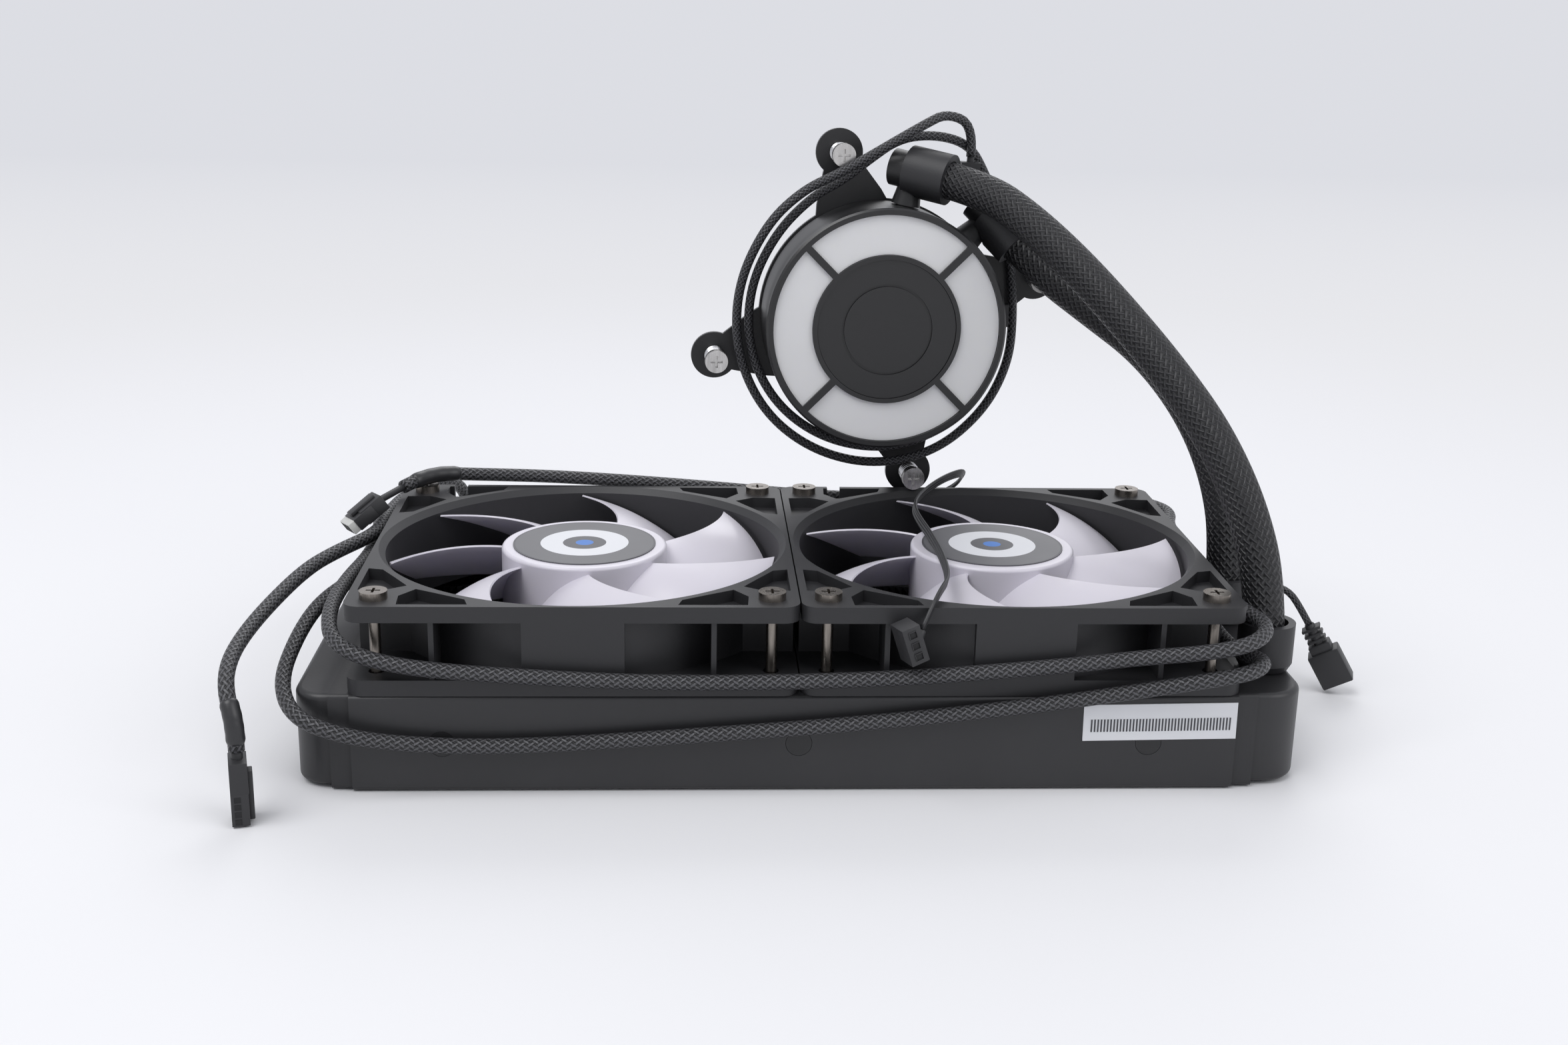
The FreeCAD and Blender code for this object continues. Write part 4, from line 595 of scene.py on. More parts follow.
def grouped_material(name: str, group: bpy.types.NodeTree, values: dict[str, object],
                     constants: dict[str, object]) -> bpy.types.Material:
    """Makes a material whose colour, roughness and normal come from a shared group.

    Args:
        name: The material's name.
        group: The shared group.
        values: The group's inputs.
        constants: Plain values on the material's own shader.

    Returns:
        The material.
    """
    material = bpy.data.materials.new(name)
    material.use_nodes = True
    tools = NodeTools(material.node_tree)
    skin = tools.node("ShaderNodeGroup", values, node_tree=group)
    shader = material.node_tree.nodes["Principled BSDF"]
    for socket, result in (("Base Color", "Colour"), ("Roughness", "Roughness"), ("Normal", "Normal")):
        tools.fill(shader.inputs[socket], skin.outputs[result])
    for socket, value in constants.items():
        shader.inputs[socket].default_value = value
    return material


@dataclass(frozen=True)
class Finish:
    """A skin with fine grain, for moulded, coated and printed pieces."""

    name: str
    colour: Colour
    worn: Colour
    roughness: float
    metallic: float = 0.0
    drift: float = 0.12
    grain: float = 2500.0
    relief: float = 0.12
    coat: float = 0.0
    subsurface: float = 0.0

    def build(self, group: bpy.types.NodeTree) -> bpy.types.Material:
        """Builds the material.

        Args:
            group: The shared grain group.

        Returns:
            The material.
        """
        constants = {"Metallic": self.metallic, "Coat Weight": self.coat, "Coat Roughness": 0.2}
        if self.subsurface:
            constants |= {"Subsurface Weight": self.subsurface, "Subsurface Radius": (0.004, 0.004, 0.005),
                          "Subsurface Scale": 1.0}
        return grouped_material(self.name, group, {
            "Colour": opaque(self.colour), "Worn colour": opaque(self.worn), "Roughness": self.roughness,
            "Gloss drift": self.drift, "Grain size": self.grain, "Relief": self.relief,
        }, constants)


@dataclass(frozen=True)
class Metal:
    """A bare metal with fine turning marks."""

    name: str
    colour: Colour
    dull: Colour
    roughness: float

    def build(self, group: bpy.types.NodeTree) -> bpy.types.Material:
        """Builds the material.

        Args:
            group: The shared metal group.

        Returns:
            The material.
        """
        return grouped_material(self.name, group, {
            "Colour": opaque(self.colour), "Dull colour": opaque(self.dull), "Roughness": self.roughness,
        }, {"Metallic": 1.0})


@dataclass(frozen=True)
class Braid:
    """A woven sleeve over a hose or lead, with painted glints on its strands' tops."""

    name: str
    # The colour of the painted glints on the strands' tops.
    painted_glint: Colour
    repeats: float
    strands: float
    threads: float
    depth: float
    dark: Colour = (0.004, 0.004, 0.005)

    def build(self, group: bpy.types.NodeTree) -> bpy.types.Material:
        """Builds the material.

        Args:
            group: The shared braid group.

        Returns:
            The material.
        """
        return grouped_material(self.name, group, {
            "Dark": opaque(self.dark), "Light": opaque(self.painted_glint), "Repeats a metre": self.repeats,
            "Strands around": self.strands, "Threads a strand": self.threads, "Relief": 1.0,
            "Depth": self.depth,
        }, {"Specular IOR Level": 0.55})


@dataclass
class Palette:
    """Every finish of the cooler, made once."""

    made: dict[str, bpy.types.Material] = field(default_factory=dict)

    def build(self) -> None:
        """Makes all the materials."""
        for group, finishes in ((grain_group(), self.skins()), (turned_group(), self.metals()),
                                (braid_group(), self.braids())):
            for finish in finishes:
                self.made[finish.name] = finish.build(group)

    def __getitem__(self, name: str) -> bpy.types.Material:
        """The material of that name."""
        return self.made[name]

    @staticmethod
    def skins() -> tuple[Finish, ...]:
        """The moulded, coated and printed finishes.

        Returns:
            The finishes, not yet built.
        """
        return (
            Finish("coated_sheet", (0.021, 0.021, 0.023), (0.04, 0.04, 0.042), 0.42, grain=1400, relief=0.2),
            Finish("bracket_coat", (0.014, 0.014, 0.015), (0.028, 0.028, 0.03), 0.40, grain=1500, relief=0.2),
            Finish("screw_black", (0.012, 0.012, 0.013), (0.03, 0.03, 0.032), 0.38, grain=1500, relief=0.1),
            Finish("coated_core", (0.020, 0.020, 0.022), (0.035, 0.035, 0.037), 0.46, grain=1100,
                   relief=0.25),
            Finish("frame_moulding", (0.018, 0.018, 0.020), (0.030, 0.030, 0.033), 0.5, grain=2600,
                   relief=0.18),
            Finish("rotor_pearl", (0.71, 0.68, 0.765), (0.75, 0.725, 0.80), 0.36, drift=0.05, grain=700,
                   relief=0.03, coat=0.3, subsurface=0.15),
            Finish("label_silver", (0.42, 0.43, 0.46), (0.48, 0.49, 0.52), 0.45, grain=900, relief=0.04),
            Finish("board_green", (0.02, 0.09, 0.04), (0.03, 0.12, 0.06), 0.45, grain=600, relief=0.1),
            Finish("winding", (0.42, 0.17, 0.07), (0.28, 0.12, 0.06), 0.35, metallic=0.8, grain=1500,
                   relief=0.5),
            Finish("pump_moulding", (0.014, 0.014, 0.015), (0.024, 0.024, 0.026), 0.42, grain=2200,
                   relief=0.14),
            Finish("face_satin", (0.009, 0.009, 0.010), (0.014, 0.014, 0.015), 0.36, grain=1800, relief=0.06,
                   coat=0.15),
            Finish("window_frosted", (0.80, 0.80, 0.82), (0.84, 0.84, 0.86), 0.5, drift=0.04, grain=3000,
                   relief=0.05, subsurface=0.25),
            Finish("rubber_sleeve", (0.016, 0.016, 0.018), (0.03, 0.03, 0.033), 0.5, grain=1800, relief=0.3),
            Finish("shrink_film", (0.022, 0.022, 0.024), (0.04, 0.04, 0.043), 0.36, grain=700, relief=0.3),
            Finish("plug_nylon", (0.022, 0.022, 0.024), (0.036, 0.036, 0.039), 0.5, grain=1500, relief=0.2),
            Finish("contact_pale", (0.62, 0.62, 0.60), (0.70, 0.70, 0.68), 0.4, grain=900, relief=0.08),
            Finish("wire_skin", (0.02, 0.02, 0.022), (0.03, 0.03, 0.033), 0.4, grain=900, relief=0.1),
            Finish("sticker_film", (0.76, 0.77, 0.80), (0.80, 0.81, 0.83), 0.42, drift=0.05, grain=600,
                   relief=0.04),
            Finish("sticker_print", (0.06, 0.06, 0.07), (0.09, 0.09, 0.10), 0.5, grain=600, relief=0.03),
            Finish("impeller_grey", (0.12, 0.12, 0.13), (0.16, 0.16, 0.17), 0.5),
            # Painted shade, on flat pieces in the plugs' openings.
            Finish("painted_hole_shade", (0.006, 0.006, 0.007), (0.01, 0.01, 0.011), 0.7),
        )

    @staticmethod
    def metals() -> tuple[Metal, ...]:
        """The bare metals.

        Returns:
            The finishes, not yet built.
        """
        return (
            Metal("screw_nickel", (0.30, 0.27, 0.24), (0.12, 0.11, 0.10), 0.30),
            Metal("bright_steel", (0.66, 0.65, 0.64), (0.42, 0.41, 0.40), 0.26),
            Metal("bright_screw", (0.60, 0.59, 0.58), (0.36, 0.35, 0.34), 0.28),
            Metal("spring_wire", (0.78, 0.78, 0.79), (0.5, 0.5, 0.51), 0.20),
            Metal("copper", (0.80, 0.42, 0.28), (0.55, 0.27, 0.18), 0.30),
            Metal("bronze", (0.48, 0.33, 0.17), (0.3, 0.2, 0.1), 0.45),
            Metal("fin_black", (0.05, 0.05, 0.053), (0.03, 0.03, 0.032), 0.42),
        )

    @staticmethod
    def braids() -> tuple[Braid, ...]:
        """The woven sleeves.

        Returns:
            The finishes, not yet built.
        """
        return (
            # Each sleeve's first colour is its painted glint, lightest on the strands' tops.
            Braid("hose_braid", (0.034, 0.034, 0.038), 420.0, 18.0, 2.0, 0.0006),
            Braid("lead_braid", (0.17, 0.17, 0.185), 400.0, 8.0, 3.0, 0.0005),
            Braid("fine_braid", (0.13, 0.13, 0.145), 560.0, 7.0, 2.0, 0.0003),
        )


def paint(obj: bpy.types.Object, material: bpy.types.Material) -> None:
    """Gives every material slot of a source node the same finish."""
    for slot in obj.material_slots:
        slot.material = material


# Stage

@dataclass(frozen=True)
class Lamp:
    """A soft square lamp."""

    name: str
    place: Point
    size: float
    power: float

    def build(self, aim: Point) -> None:
        """Adds the lamp.

        Args:
            aim: The point that it looks at, in metres.
        """
        data = bpy.data.lights.new(self.name, "AREA")
        data.size = self.size
        data.energy = self.power
        ahead = (Vector(aim) - Vector(self.place)).to_track_quat("-Z", "Y").to_matrix().to_4x4()
        linked(self.name, data).matrix_world = Matrix.Translation(self.place) @ ahead


@dataclass
class Studio:
    """Camera, lamps, world and floor."""

    place: Point = (-0.0313, -0.5078, 0.2084)
    yaw: float = 3.33
    pitch: float = 16.52
    roll: float = 1.21
    focal_px: float = 2715.0
    width_px: float = 2352.0
    sensor_width: float = 36.0
    aim: Point = (0.0, 0.0, 0.06)
    lamps: tuple[Lamp, ...] = (
        Lamp("key", (-1.0, -0.7, 2.2), 1.6, 33.0),
        Lamp("fill", (1.6, -1.2, 1.5), 1.6, 15.0),
        Lamp("rear", (0.3, 2.0, 1.7), 1.5, 17.0),
    )
    room_colour: Colour = (0.93, 0.95, 1.0)
    room_strength: float = 0.42
    # The table's colour runs from the near colour to a darker far colour, which is painted shade.
    near_colour: Colour = (0.855, 0.855, 0.88)
    far_shade_colour: Colour = (0.72, 0.73, 0.775)
    fade_y: tuple[float, float] = (0.1, 1.7)
    glow_reach: tuple[float, float] = (0.32, 0.85)
    floor_half: float = 60.0
    floor_z: float = -0.0004

    def camera(self) -> None:
        """Sets the camera at the photograph's viewpoint."""
        data = bpy.data.cameras.new("photo_view")
        data.sensor_fit = "HORIZONTAL"
        data.sensor_width = self.sensor_width
        data.lens = self.focal_px / self.width_px * self.sensor_width
        data.clip_start = 0.01
        data.clip_end = 40.0
        yaw, pitch, roll = (math.radians(a) for a in (self.yaw, self.pitch, self.roll))
        ahead = Vector((math.sin(yaw) * math.cos(pitch), math.cos(yaw) * math.cos(pitch), -math.sin(pitch)))
        right = Vector((math.cos(yaw), -math.sin(yaw), 0.0))
        up = right.cross(ahead)
        level = math.cos(roll) * right + math.sin(roll) * up
        upright = -math.sin(roll) * right + math.cos(roll) * up
        turn = Matrix((level, upright, -ahead)).transposed()
        obj = linked("photo_view", data)
        obj.matrix_world = Matrix.Translation(self.place) @ turn.to_4x4()
        bpy.context.scene.camera = obj

    def world(self) -> None:
        """Adds a pale room, seen in the far table's colour, which is darkened with painted shade."""
        world = bpy.data.worlds.new("pale_room")
        bpy.context.scene.world = world
        world.use_nodes = True
        tools, nodes = NodeTools(world.node_tree), world.node_tree.nodes
        room = nodes["Background"]
        room.inputs["Color"].default_value = opaque(self.room_colour)
        room.inputs["Strength"].default_value = self.room_strength
        seen = tools.node("ShaderNodeBackground", {"Color": opaque(self.far_shade_colour), "Strength": 1.0})
        tools.blend(tools.seen_rays(), room, seen, nodes["World Output"])

    def floor(self) -> None:
        """Adds the pale table, with painted shade that darkens it a little towards the far side."""
        material = bpy.data.materials.new("pale_table")
        material.use_nodes = True
        tools, nodes = NodeTools(material.node_tree), material.node_tree.nodes
        shader = nodes["Principled BSDF"]
        place = tools.node("ShaderNodeTexCoord").outputs["Object"]
        depth = tools.node("ShaderNodeSeparateXYZ", {0: place}).outputs[1]
        near_y, far_y = self.fade_y
        fade = tools.node("ShaderNodeMapRange", {"Value": depth, "From Min": near_y, "From Max": far_y})
        # Painted shade: a ramp from the near colour to the darker far colour.
        ramp = tools.node("ShaderNodeValToRGB", {0: fade.outputs[0]})
        for stop, colour in zip(ramp.color_ramp.elements, (self.near_colour, self.far_shade_colour)):
            stop.color = opaque(colour)
        tools.fill(shader.inputs["Base Color"], ramp.outputs[0])
        shader.inputs["Roughness"].default_value = 0.8
        glow = tools.node("ShaderNodeEmission", {"Color": ramp.outputs[0]})
        reach = tools.node("ShaderNodeVectorMath", {0: place}, operation="LENGTH").outputs["Value"]
        start, end = self.glow_reach
        share = tools.node("ShaderNodeMapRange", {"Value": reach, "From Min": start, "From Max": end},
                           interpolation_type="SMOOTHSTEP").outputs[0]
        tools.blend(tools.math("MULTIPLY", share, tools.seen_rays()), shader, glow, nodes["Material Output"])
        h, low = self.floor_half, self.floor_z
        corners = [(-h, -h, low), (h, -h, low), (h, h, low), (-h, h, low)]
        mesh_piece("table_top", corners, [(0, 1, 2, 3)], material, smooth=False)

    def build(self) -> None:
        """Sets up the camera, lamps, world and floor."""
        self.camera()
        for lamp in self.lamps:
            lamp.build(self.aim)
        self.world()
        self.floor()


# Cords

def sweep(line: np.ndarray, outline: Sequence[tuple[float, float]],
          scales: Optional[Sequence[float]] = None) -> tuple[list, list, list]:
    """Sweeps an outline along a line without twist.

    Args:
        line: The centreline's points.
        outline: Offsets across the line.
        scales: The outline's size at each point, where it isn't one.

    Returns:
        Points, faces, and for each face corner its metres along and turns around.
    """
    places = [Vector(p) for p in line]
    ahead = [(b - a).normalized() for a, b in zip(places, places[1:])]
    ahead = [ahead[0]] + [(a + b).normalized() for a, b in zip(ahead, ahead[1:])] + [ahead[-1]]
    side = Vector((1.0, 0.0, 0.0)) if abs(ahead[0].x) < 0.9 else Vector((0.0, 0.0, 1.0))
    count = len(outline)
    points, gone, travelled = [], [], 0.0
    for i, place in enumerate(places):
        side = (side - ahead[i] * side.dot(ahead[i])).normalized()
        if i:
            travelled += (place - places[i - 1]).length
        other = ahead[i].cross(side)
        gone.append(travelled)
        size = scales[i] if scales else 1.0
        points.extend(place + (side * x + other * y) * size for x, y in outline)
    faces, runs = [], []
    for i in range(len(places) - 1):
        for k in range(count):
            n = (k + 1) % count
            faces.append((i * count + k, i * count + n, (i + 1) * count + n, (i + 1) * count + k))
            a, b = k / count, (k + 1) / count
            runs.extend([(gone[i], a), (gone[i], b), (gone[i + 1], b), (gone[i + 1], a)])
    last = (len(places) - 1) * count
    faces.append(tuple(reversed(range(count))))
    faces.append(tuple(last + k for k in range(count)))
    runs.extend([(0.0, k / count) for k in reversed(range(count))])
    runs.extend([(travelled, k / count) for k in range(count)])
    return points, faces, runs


def store_runs(obj: bpy.types.Object, runs: Sequence[tuple[float, float]]) -> None:
    """Stores metres along and turns around as the piece's own UV map."""
    layer = obj.data.uv_layers.new(name="run")
    layer.uv.foreach_set("vector", np.array(runs, np.float32).ravel())


def round_outline(radius: float, steps: int) -> list[tuple[float, float]]:
    """A circle's points."""
    angles = (2 * math.pi * k / steps for k in range(steps))
    return [(radius * math.cos(a), radius * math.sin(a)) for a in angles]


def ribbon_outline(radius: float) -> list[tuple[float, float]]:
    """The outline of three wires side by side.

    Args:
        radius: Half the ribbon's width, in metres.

    Returns:
        Offsets across the line.
    """
    gap, nip, arc_degrees = 1.8, 26.0, 30
    wire = radius / (1 + gap)
    arcs = ((1, nip - 180, 180 - nip), (0, nip, 180 - nip), (-1, nip, 360 - nip), (0, 180 + nip, 360 - nip))
    outline = []
    for side, start, end in arcs:
        steps = max(3, int((end - start) / arc_degrees))
        for k in range(steps):
            a = math.radians(start + (end - start) * k / steps)
            outline.append((side * gap * wire + wire * math.cos(a), wire * math.sin(a)))
    return outline


@dataclass
class Cord:
    """A hose or lead: a smooth line through its route, with a swept skin."""

    name: str
    outline: Outline
    stiffness: Stiffness
    far_end: FarEnd
    finish: str
    around: int
    step: float
    pieces: tuple[str, ...] = ()

    def line(self) -> np.ndarray:
        """The smooth line's points.

        Returns:
            Evenly spread points along the route's spline, in metres.
        """
        route = ROUTES[self.name]
        curve = bpy.data.curves.new(self.name + "_line", "CURVE")
        curve.dimensions = "3D"
        spline = curve.splines.new("NURBS")
        spline.points.add(len(route) - 1)
        for point, place in zip(spline.points, route):
            point.co = (*place, 1.0)
        spline.order_u = 3
        spline.use_endpoint_u = True
        curve.resolution_u = 24
        obj = linked(self.name + "_line", curve)
        graph = bpy.context.evaluated_depsgraph_get()
        mesh = bpy.data.meshes.new_from_object(obj.evaluated_get(graph))
        raw = np.array([v.co for v in mesh.vertices], float)
        bpy.data.objects.remove(obj)
        bpy.data.meshes.remove(mesh)
        gaps = np.linalg.norm(np.diff(raw, axis=0), axis=1)
        raw = raw[np.concatenate([[True], gaps > 1e-7])]
        gone = travel(raw)
        return points_at(raw, gone, np.linspace(0.0, gone[-1], int(round(gone[-1] / self.step)) + 1))

    def build(self, sleeves: Sequence["Shrink"], palette: Palette) -> None:
        """Args:
            sleeves: Film sleeves on this cord.
            palette: The finishes.
        """
        line = self.line()
        films = [sleeve.build(line, palette) for sleeve in sleeves]
        diameter, length = CORD_SIZES[self.name]
        ribbon = self.outline is Outline.RIBBON
        outline = ribbon_outline(diameter / 2) if ribbon else round_outline(diameter / 2, self.around)
        points, faces, runs = sweep(line, outline)
        obj = mesh_piece(self.name + "_sleeve", points, faces, palette[self.finish])
        store_runs(obj, runs)
        own(obj, "braid_black", self.name)


@dataclass
class Shrink:
    """A shrunk film sleeve round the last part of a lead, in metres from the lead's end."""

    name: str
    cord: str
    start: float
    end: float
    radius: float = 0.00245
    steps: int = 24
    drawn_in: float = 0.10
    drawn_share: float = 0.08
    unevenness: float = 0.012
    waves: float = 23.0

    def build(self, line: np.ndarray, palette: Palette) -> bpy.types.Object:
        """Builds the sleeve round its stretch of the lead.

        Args:
            line: The lead's smooth line.
            palette: The finishes.

        Returns:
            The sleeve.
        """
        gone = travel(line)
        part = points_at(line, gone, gone[-1] - np.linspace(self.start, self.end, self.steps))
        scales = [self.swell(i / (self.steps - 1)) for i in range(self.steps)]
        points, faces, _ = sweep(part, round_outline(1.0, self.steps), scales)
        return own(mesh_piece(self.name, points, faces, palette["shrink_film"]), "rubber_black")

    def swell(self, share: float) -> float:
        """The film's radius at a share of its length: drawn in at both ends, a little uneven."""
        ends = min(1.0, share / self.drawn_share, (1.0 - share) / self.drawn_share)
        return self.radius * (1 - self.drawn_in * (1 - ends) + self.unevenness * math.sin(self.waves * share))


@dataclass
class Cords:
    """The two hoses and five leads, with the sleeves on them."""

    items: tuple[Cord, ...] = (
        Cord("hose_front", Outline.ROUND, Stiffness.STIFF, FarEnd.OBJECT, "hose_braid", 32, 0.0020),
        Cord("hose_rear", Outline.ROUND, Stiffness.STIFF, FarEnd.OBJECT, "hose_braid", 32, 0.0020),
        Cord("fan_lead_left", Outline.ROUND, Stiffness.MEDIUM, FarEnd.PLUG, "lead_braid", 16, 0.0022,
             ("upper_plug", "upper_plug_pits", "upper_plug_contacts")),
        Cord("fan_lead_right", Outline.ROUND, Stiffness.MEDIUM, FarEnd.PLUG, "lead_braid", 16, 0.0022,
             ("table_plug", "table_plug_pits")),
        Cord("light_lead_left", Outline.ROUND, Stiffness.LIMP, FarEnd.PLUG, "fine_braid", 12, 0.0020,
             ("right_plug",)),
        Cord("light_lead_right", Outline.RIBBON, Stiffness.LIMP, FarEnd.PLUG, "wire_skin", 24, 0.0016,
             ("front_plug", "front_plug_pits")),
        Cord("pump_lead", Outline.ROUND, Stiffness.LIMP, FarEnd.PLUG, "fine_braid", 14, 0.0020,
             ("pump_plug",)),
    )
    sleeves: tuple[Shrink, ...] = (
        Shrink("sleeve_upper", "fan_lead_left", 0.0215, 0.0045),
        Shrink("sleeve_table", "fan_lead_right", 0.0130, 0.0020),
    )

    def build(self, palette: Palette) -> None:
        """Builds every cord and the sleeves on it."""
        for cord in self.items:
            cord.build([s for s in self.sleeves if s.cord == cord.name], palette)


# Plugs

@dataclass(frozen=True)
class Box:
    """A block of a plug in millimetres, in the plug's own frame."""

    low: Point
    high: Point
    edge: float = 0.25


@dataclass(frozen=True)
class Neck:
    """The wire's neck out of a plug: its direction, and its radius and reach in millimetres."""

    direction: Point
    radius: float
    reach: float
    sunk: float = 1.5
    lip: float = 0.4
    lip_share: float = 0.86
    steps: int = 20

    def add(self, bm: bmesh.types.BMesh, at: Point) -> None:
        """Adds the neck, whose foot is sunk in the plug.

        Args:
            bm: The plug's mesh.
            at: The plug's place, in millimetres.
        """
        ahead = Vector(self.direction).normalized().to_track_quat("Z", "Y").to_matrix().to_4x4()
        rows = ((0.0, -self.sunk), (self.radius, -self.sunk), (self.radius, self.reach - self.lip),
                (self.radius * self.lip_share, self.reach), (0.0, self.reach))
        rows = [(radius * MM, height * MM) for radius, height in rows]
        turned_solid(bm, rows, Matrix.Translation(Vector(at) * MM) @ ahead, self.steps)


@dataclass
class Plug:
    """A moulded plug: blocks, windows whose dark floors are painted shade, pale contacts and the wire's neck.

    Its frame's Z points back along the cord, and its X lies near the side direction.
    """

    name: str
    node: str
    at: Point
    back: Point
    side: Point
    boxes: tuple[Box, ...]
    neck: Neck
    pits: tuple[Box, ...] = ()
    contacts: tuple[Box, ...] = ()

    def place(self) -> Matrix:
        """The plug's frame.

        Returns:
            A turn and shift from the plug's own metres to the model's.
        """
        upward = Vector(self.back).normalized()
        across = (Vector(self.side) - upward * Vector(self.side).dot(upward)).normalized()
        turn = Matrix((across, upward.cross(across), upward)).transposed()
        return Matrix.Translation(Vector(self.at) * MM) @ turn.to_4x4()

    def blocks(self, boxes: Sequence[Box]) -> bmesh.types.BMesh:
        """Makes a bmesh of blocks.

        Args:
            boxes: The blocks.

        Returns:
            The bmesh.
        """
        bm, place = bmesh.new(), self.place()
        for box in boxes:
            block(bm, Vector(box.low) * MM, Vector(box.high) * MM, place, box.edge * MM)
        return bm

    def build(self, palette: Palette) -> None:
        """Builds the plug in place of its source node.

        Args:
            palette: The finishes.
        """
        bm = self.blocks(self.boxes)
        self.neck.add(bm, self.at)
        own(from_bmesh(self.name, bm, palette["plug_nylon"]), "frame_black", self.node)
        # The pits are flat pieces painted dark as the shade inside the plug's openings.
        for part, boxes, finish, slot in (("pits", self.pits, "painted_hole_shade", "frame_black"),
                                          ("contacts", self.contacts, "contact_pale", "sticker_white")):
            if boxes:
                own(from_bmesh(f"{self.name}_{part}", self.blocks(boxes), palette[finish]), slot)


def upper_plug() -> Plug:
    """The plug that rests on the left fan's corner, with its row of contacts.

    Returns:
        The plug, not yet built.
    """
    slot_pitch, slot_wide, slot_left, tip = 2.2, 1.2, -3.9, -13.5
    # Dark slots on the tip, painted shade in the plug's openings.
    slots = tuple(Box((slot_left + slot_pitch * i, -1.5, tip),
                      (slot_left + slot_wide + slot_pitch * i, 1.5, tip + 0.16), PIT_EDGE) for i in range(4))
    body = Box((-4.6, -2.5, -8.2), (4.6, 2.5, 0.0))
    mouth = Box((-5.1, -2.1, -11.2), (5.1, 2.1, -4.2))
    latch = Box((-2.2, 2.3, -10.4), (2.2, 3.4, -1.2))
    return Plug("upper_plug", "plug_upper", (-124.5, 36.0, 53.7), (10.2, 6.0, 8.1), (-0.3, 1.0, 0.0),
                (body, mouth, latch), Neck((0.57, 0.80, 0.18), 1.1, 10.0), slots,
                (Box((-4.7, -1.9, -13.4), (4.7, 1.9, -11.0)),))


def table_plug() -> Plug:
    """The plug that stands in front of the left end, with windows in its narrow face.

    Returns:
        The plug, not yet built.
    """
    pitch, tall, top = 2.05, 1.5, -9.1
    # Dark windows, painted shade in the plug's openings.
    windows = tuple(Box((-4.42, -0.2, top - tall - pitch * i), (-4.28, 1.5, top - pitch * i), PIT_EDGE)
                    for i in range(4))
    upper = Box((-4.3, -2.3, -8.6), (4.3, 2.3, 0.0))
    lower = Box((-4.3, -2.2, -17.2), (4.3, 2.3, -8.4), 0.15)
    key = Box((-1.8, -3.5, -16.7), (1.8, -2.1, -3.3))
    return Plug("table_plug", "plug_table", (-144.3, -77.0, 17.3), (0.0, 0.0, 1.0), (-0.26, 1.0, 0.0),
                (upper, lower, key), Neck((0.0, 0.0, 1.0), 1.5, 2.0), windows)


def right_plug() -> Plug:
    """The plug at the right, with three rib plates on its neck.

    Returns:
        The plug, not yet built.
    """
    back, pitch, thick, half_x, half_y = (-0.5, 0.1, 0.86), 2.0, 0.9, 2.9, 1.9
    ribs = tuple(Box((-half_x, -half_y, 1.0 + pitch * i), (half_x, half_y, 1.0 + thick + pitch * i), 0.2)
                 for i in range(3))
    body = Box((-4.9, -3.0, -14.4), (4.9, 3.0, -2.6), 0.5)
    shoulder = Box((-3.4, -2.3, -3.0), (3.4, 2.3, 0.2), 0.4)
    return Plug("right_plug", "plug_right", (166.4, 12.0, 15.6), back, (0.80, -0.33, 0.5),
                (body, shoulder, *ribs), Neck(back, 1.6, 7.0))


def front_plug() -> Plug:
    """The plug that hangs in front of the right fan, with three windows and three wires.

    Returns:
        The plug, not yet built.
    """
    pitch, half_wide, half_tall, middle, rim, face = 3.1, 0.85, 0.95, -2.6, 0.2, 4.0
    low, high = middle - half_tall, middle + half_tall
    proud = face + 0.35
    frames, pits, wires = [], [], []
    for i in (-1, 0, 1):
        left, right = i * pitch - half_wide, i * pitch + half_wide
        frames += [Box((left - rim, face, low - rim), (left, proud, high + rim), BAR_EDGE),
                   Box((right, face, low - rim), (right + rim, proud, high + rim), BAR_EDGE),
                   Box((left, face, low - rim), (right, proud, low), BAR_EDGE),
                   Box((left, face, high), (right, proud, high + rim), BAR_EDGE)]
        # A dark floor in each window, painted shade.
        pits.append(Box((left, face - 0.1, low), (right, face + 0.06, high), PIT_EDGE))
        wires.append(Box((i * pitch - 0.7, -0.6, -0.1), (i * pitch + 0.7, 0.8, 0.9), 0.3))
    return Plug("front_plug", "plug_front", (30.4, -65.0, 45.4), (0.90, 0.30, 0.30), (-0.26, 0.0, 0.97),
                (Box((-5.2, -face, -5.2), (5.2, face, 0.0)), *frames, *wires),
                Neck((0.42, 0.40, 0.81), 1.2, 2.4), tuple(pits))


# Repeated pieces

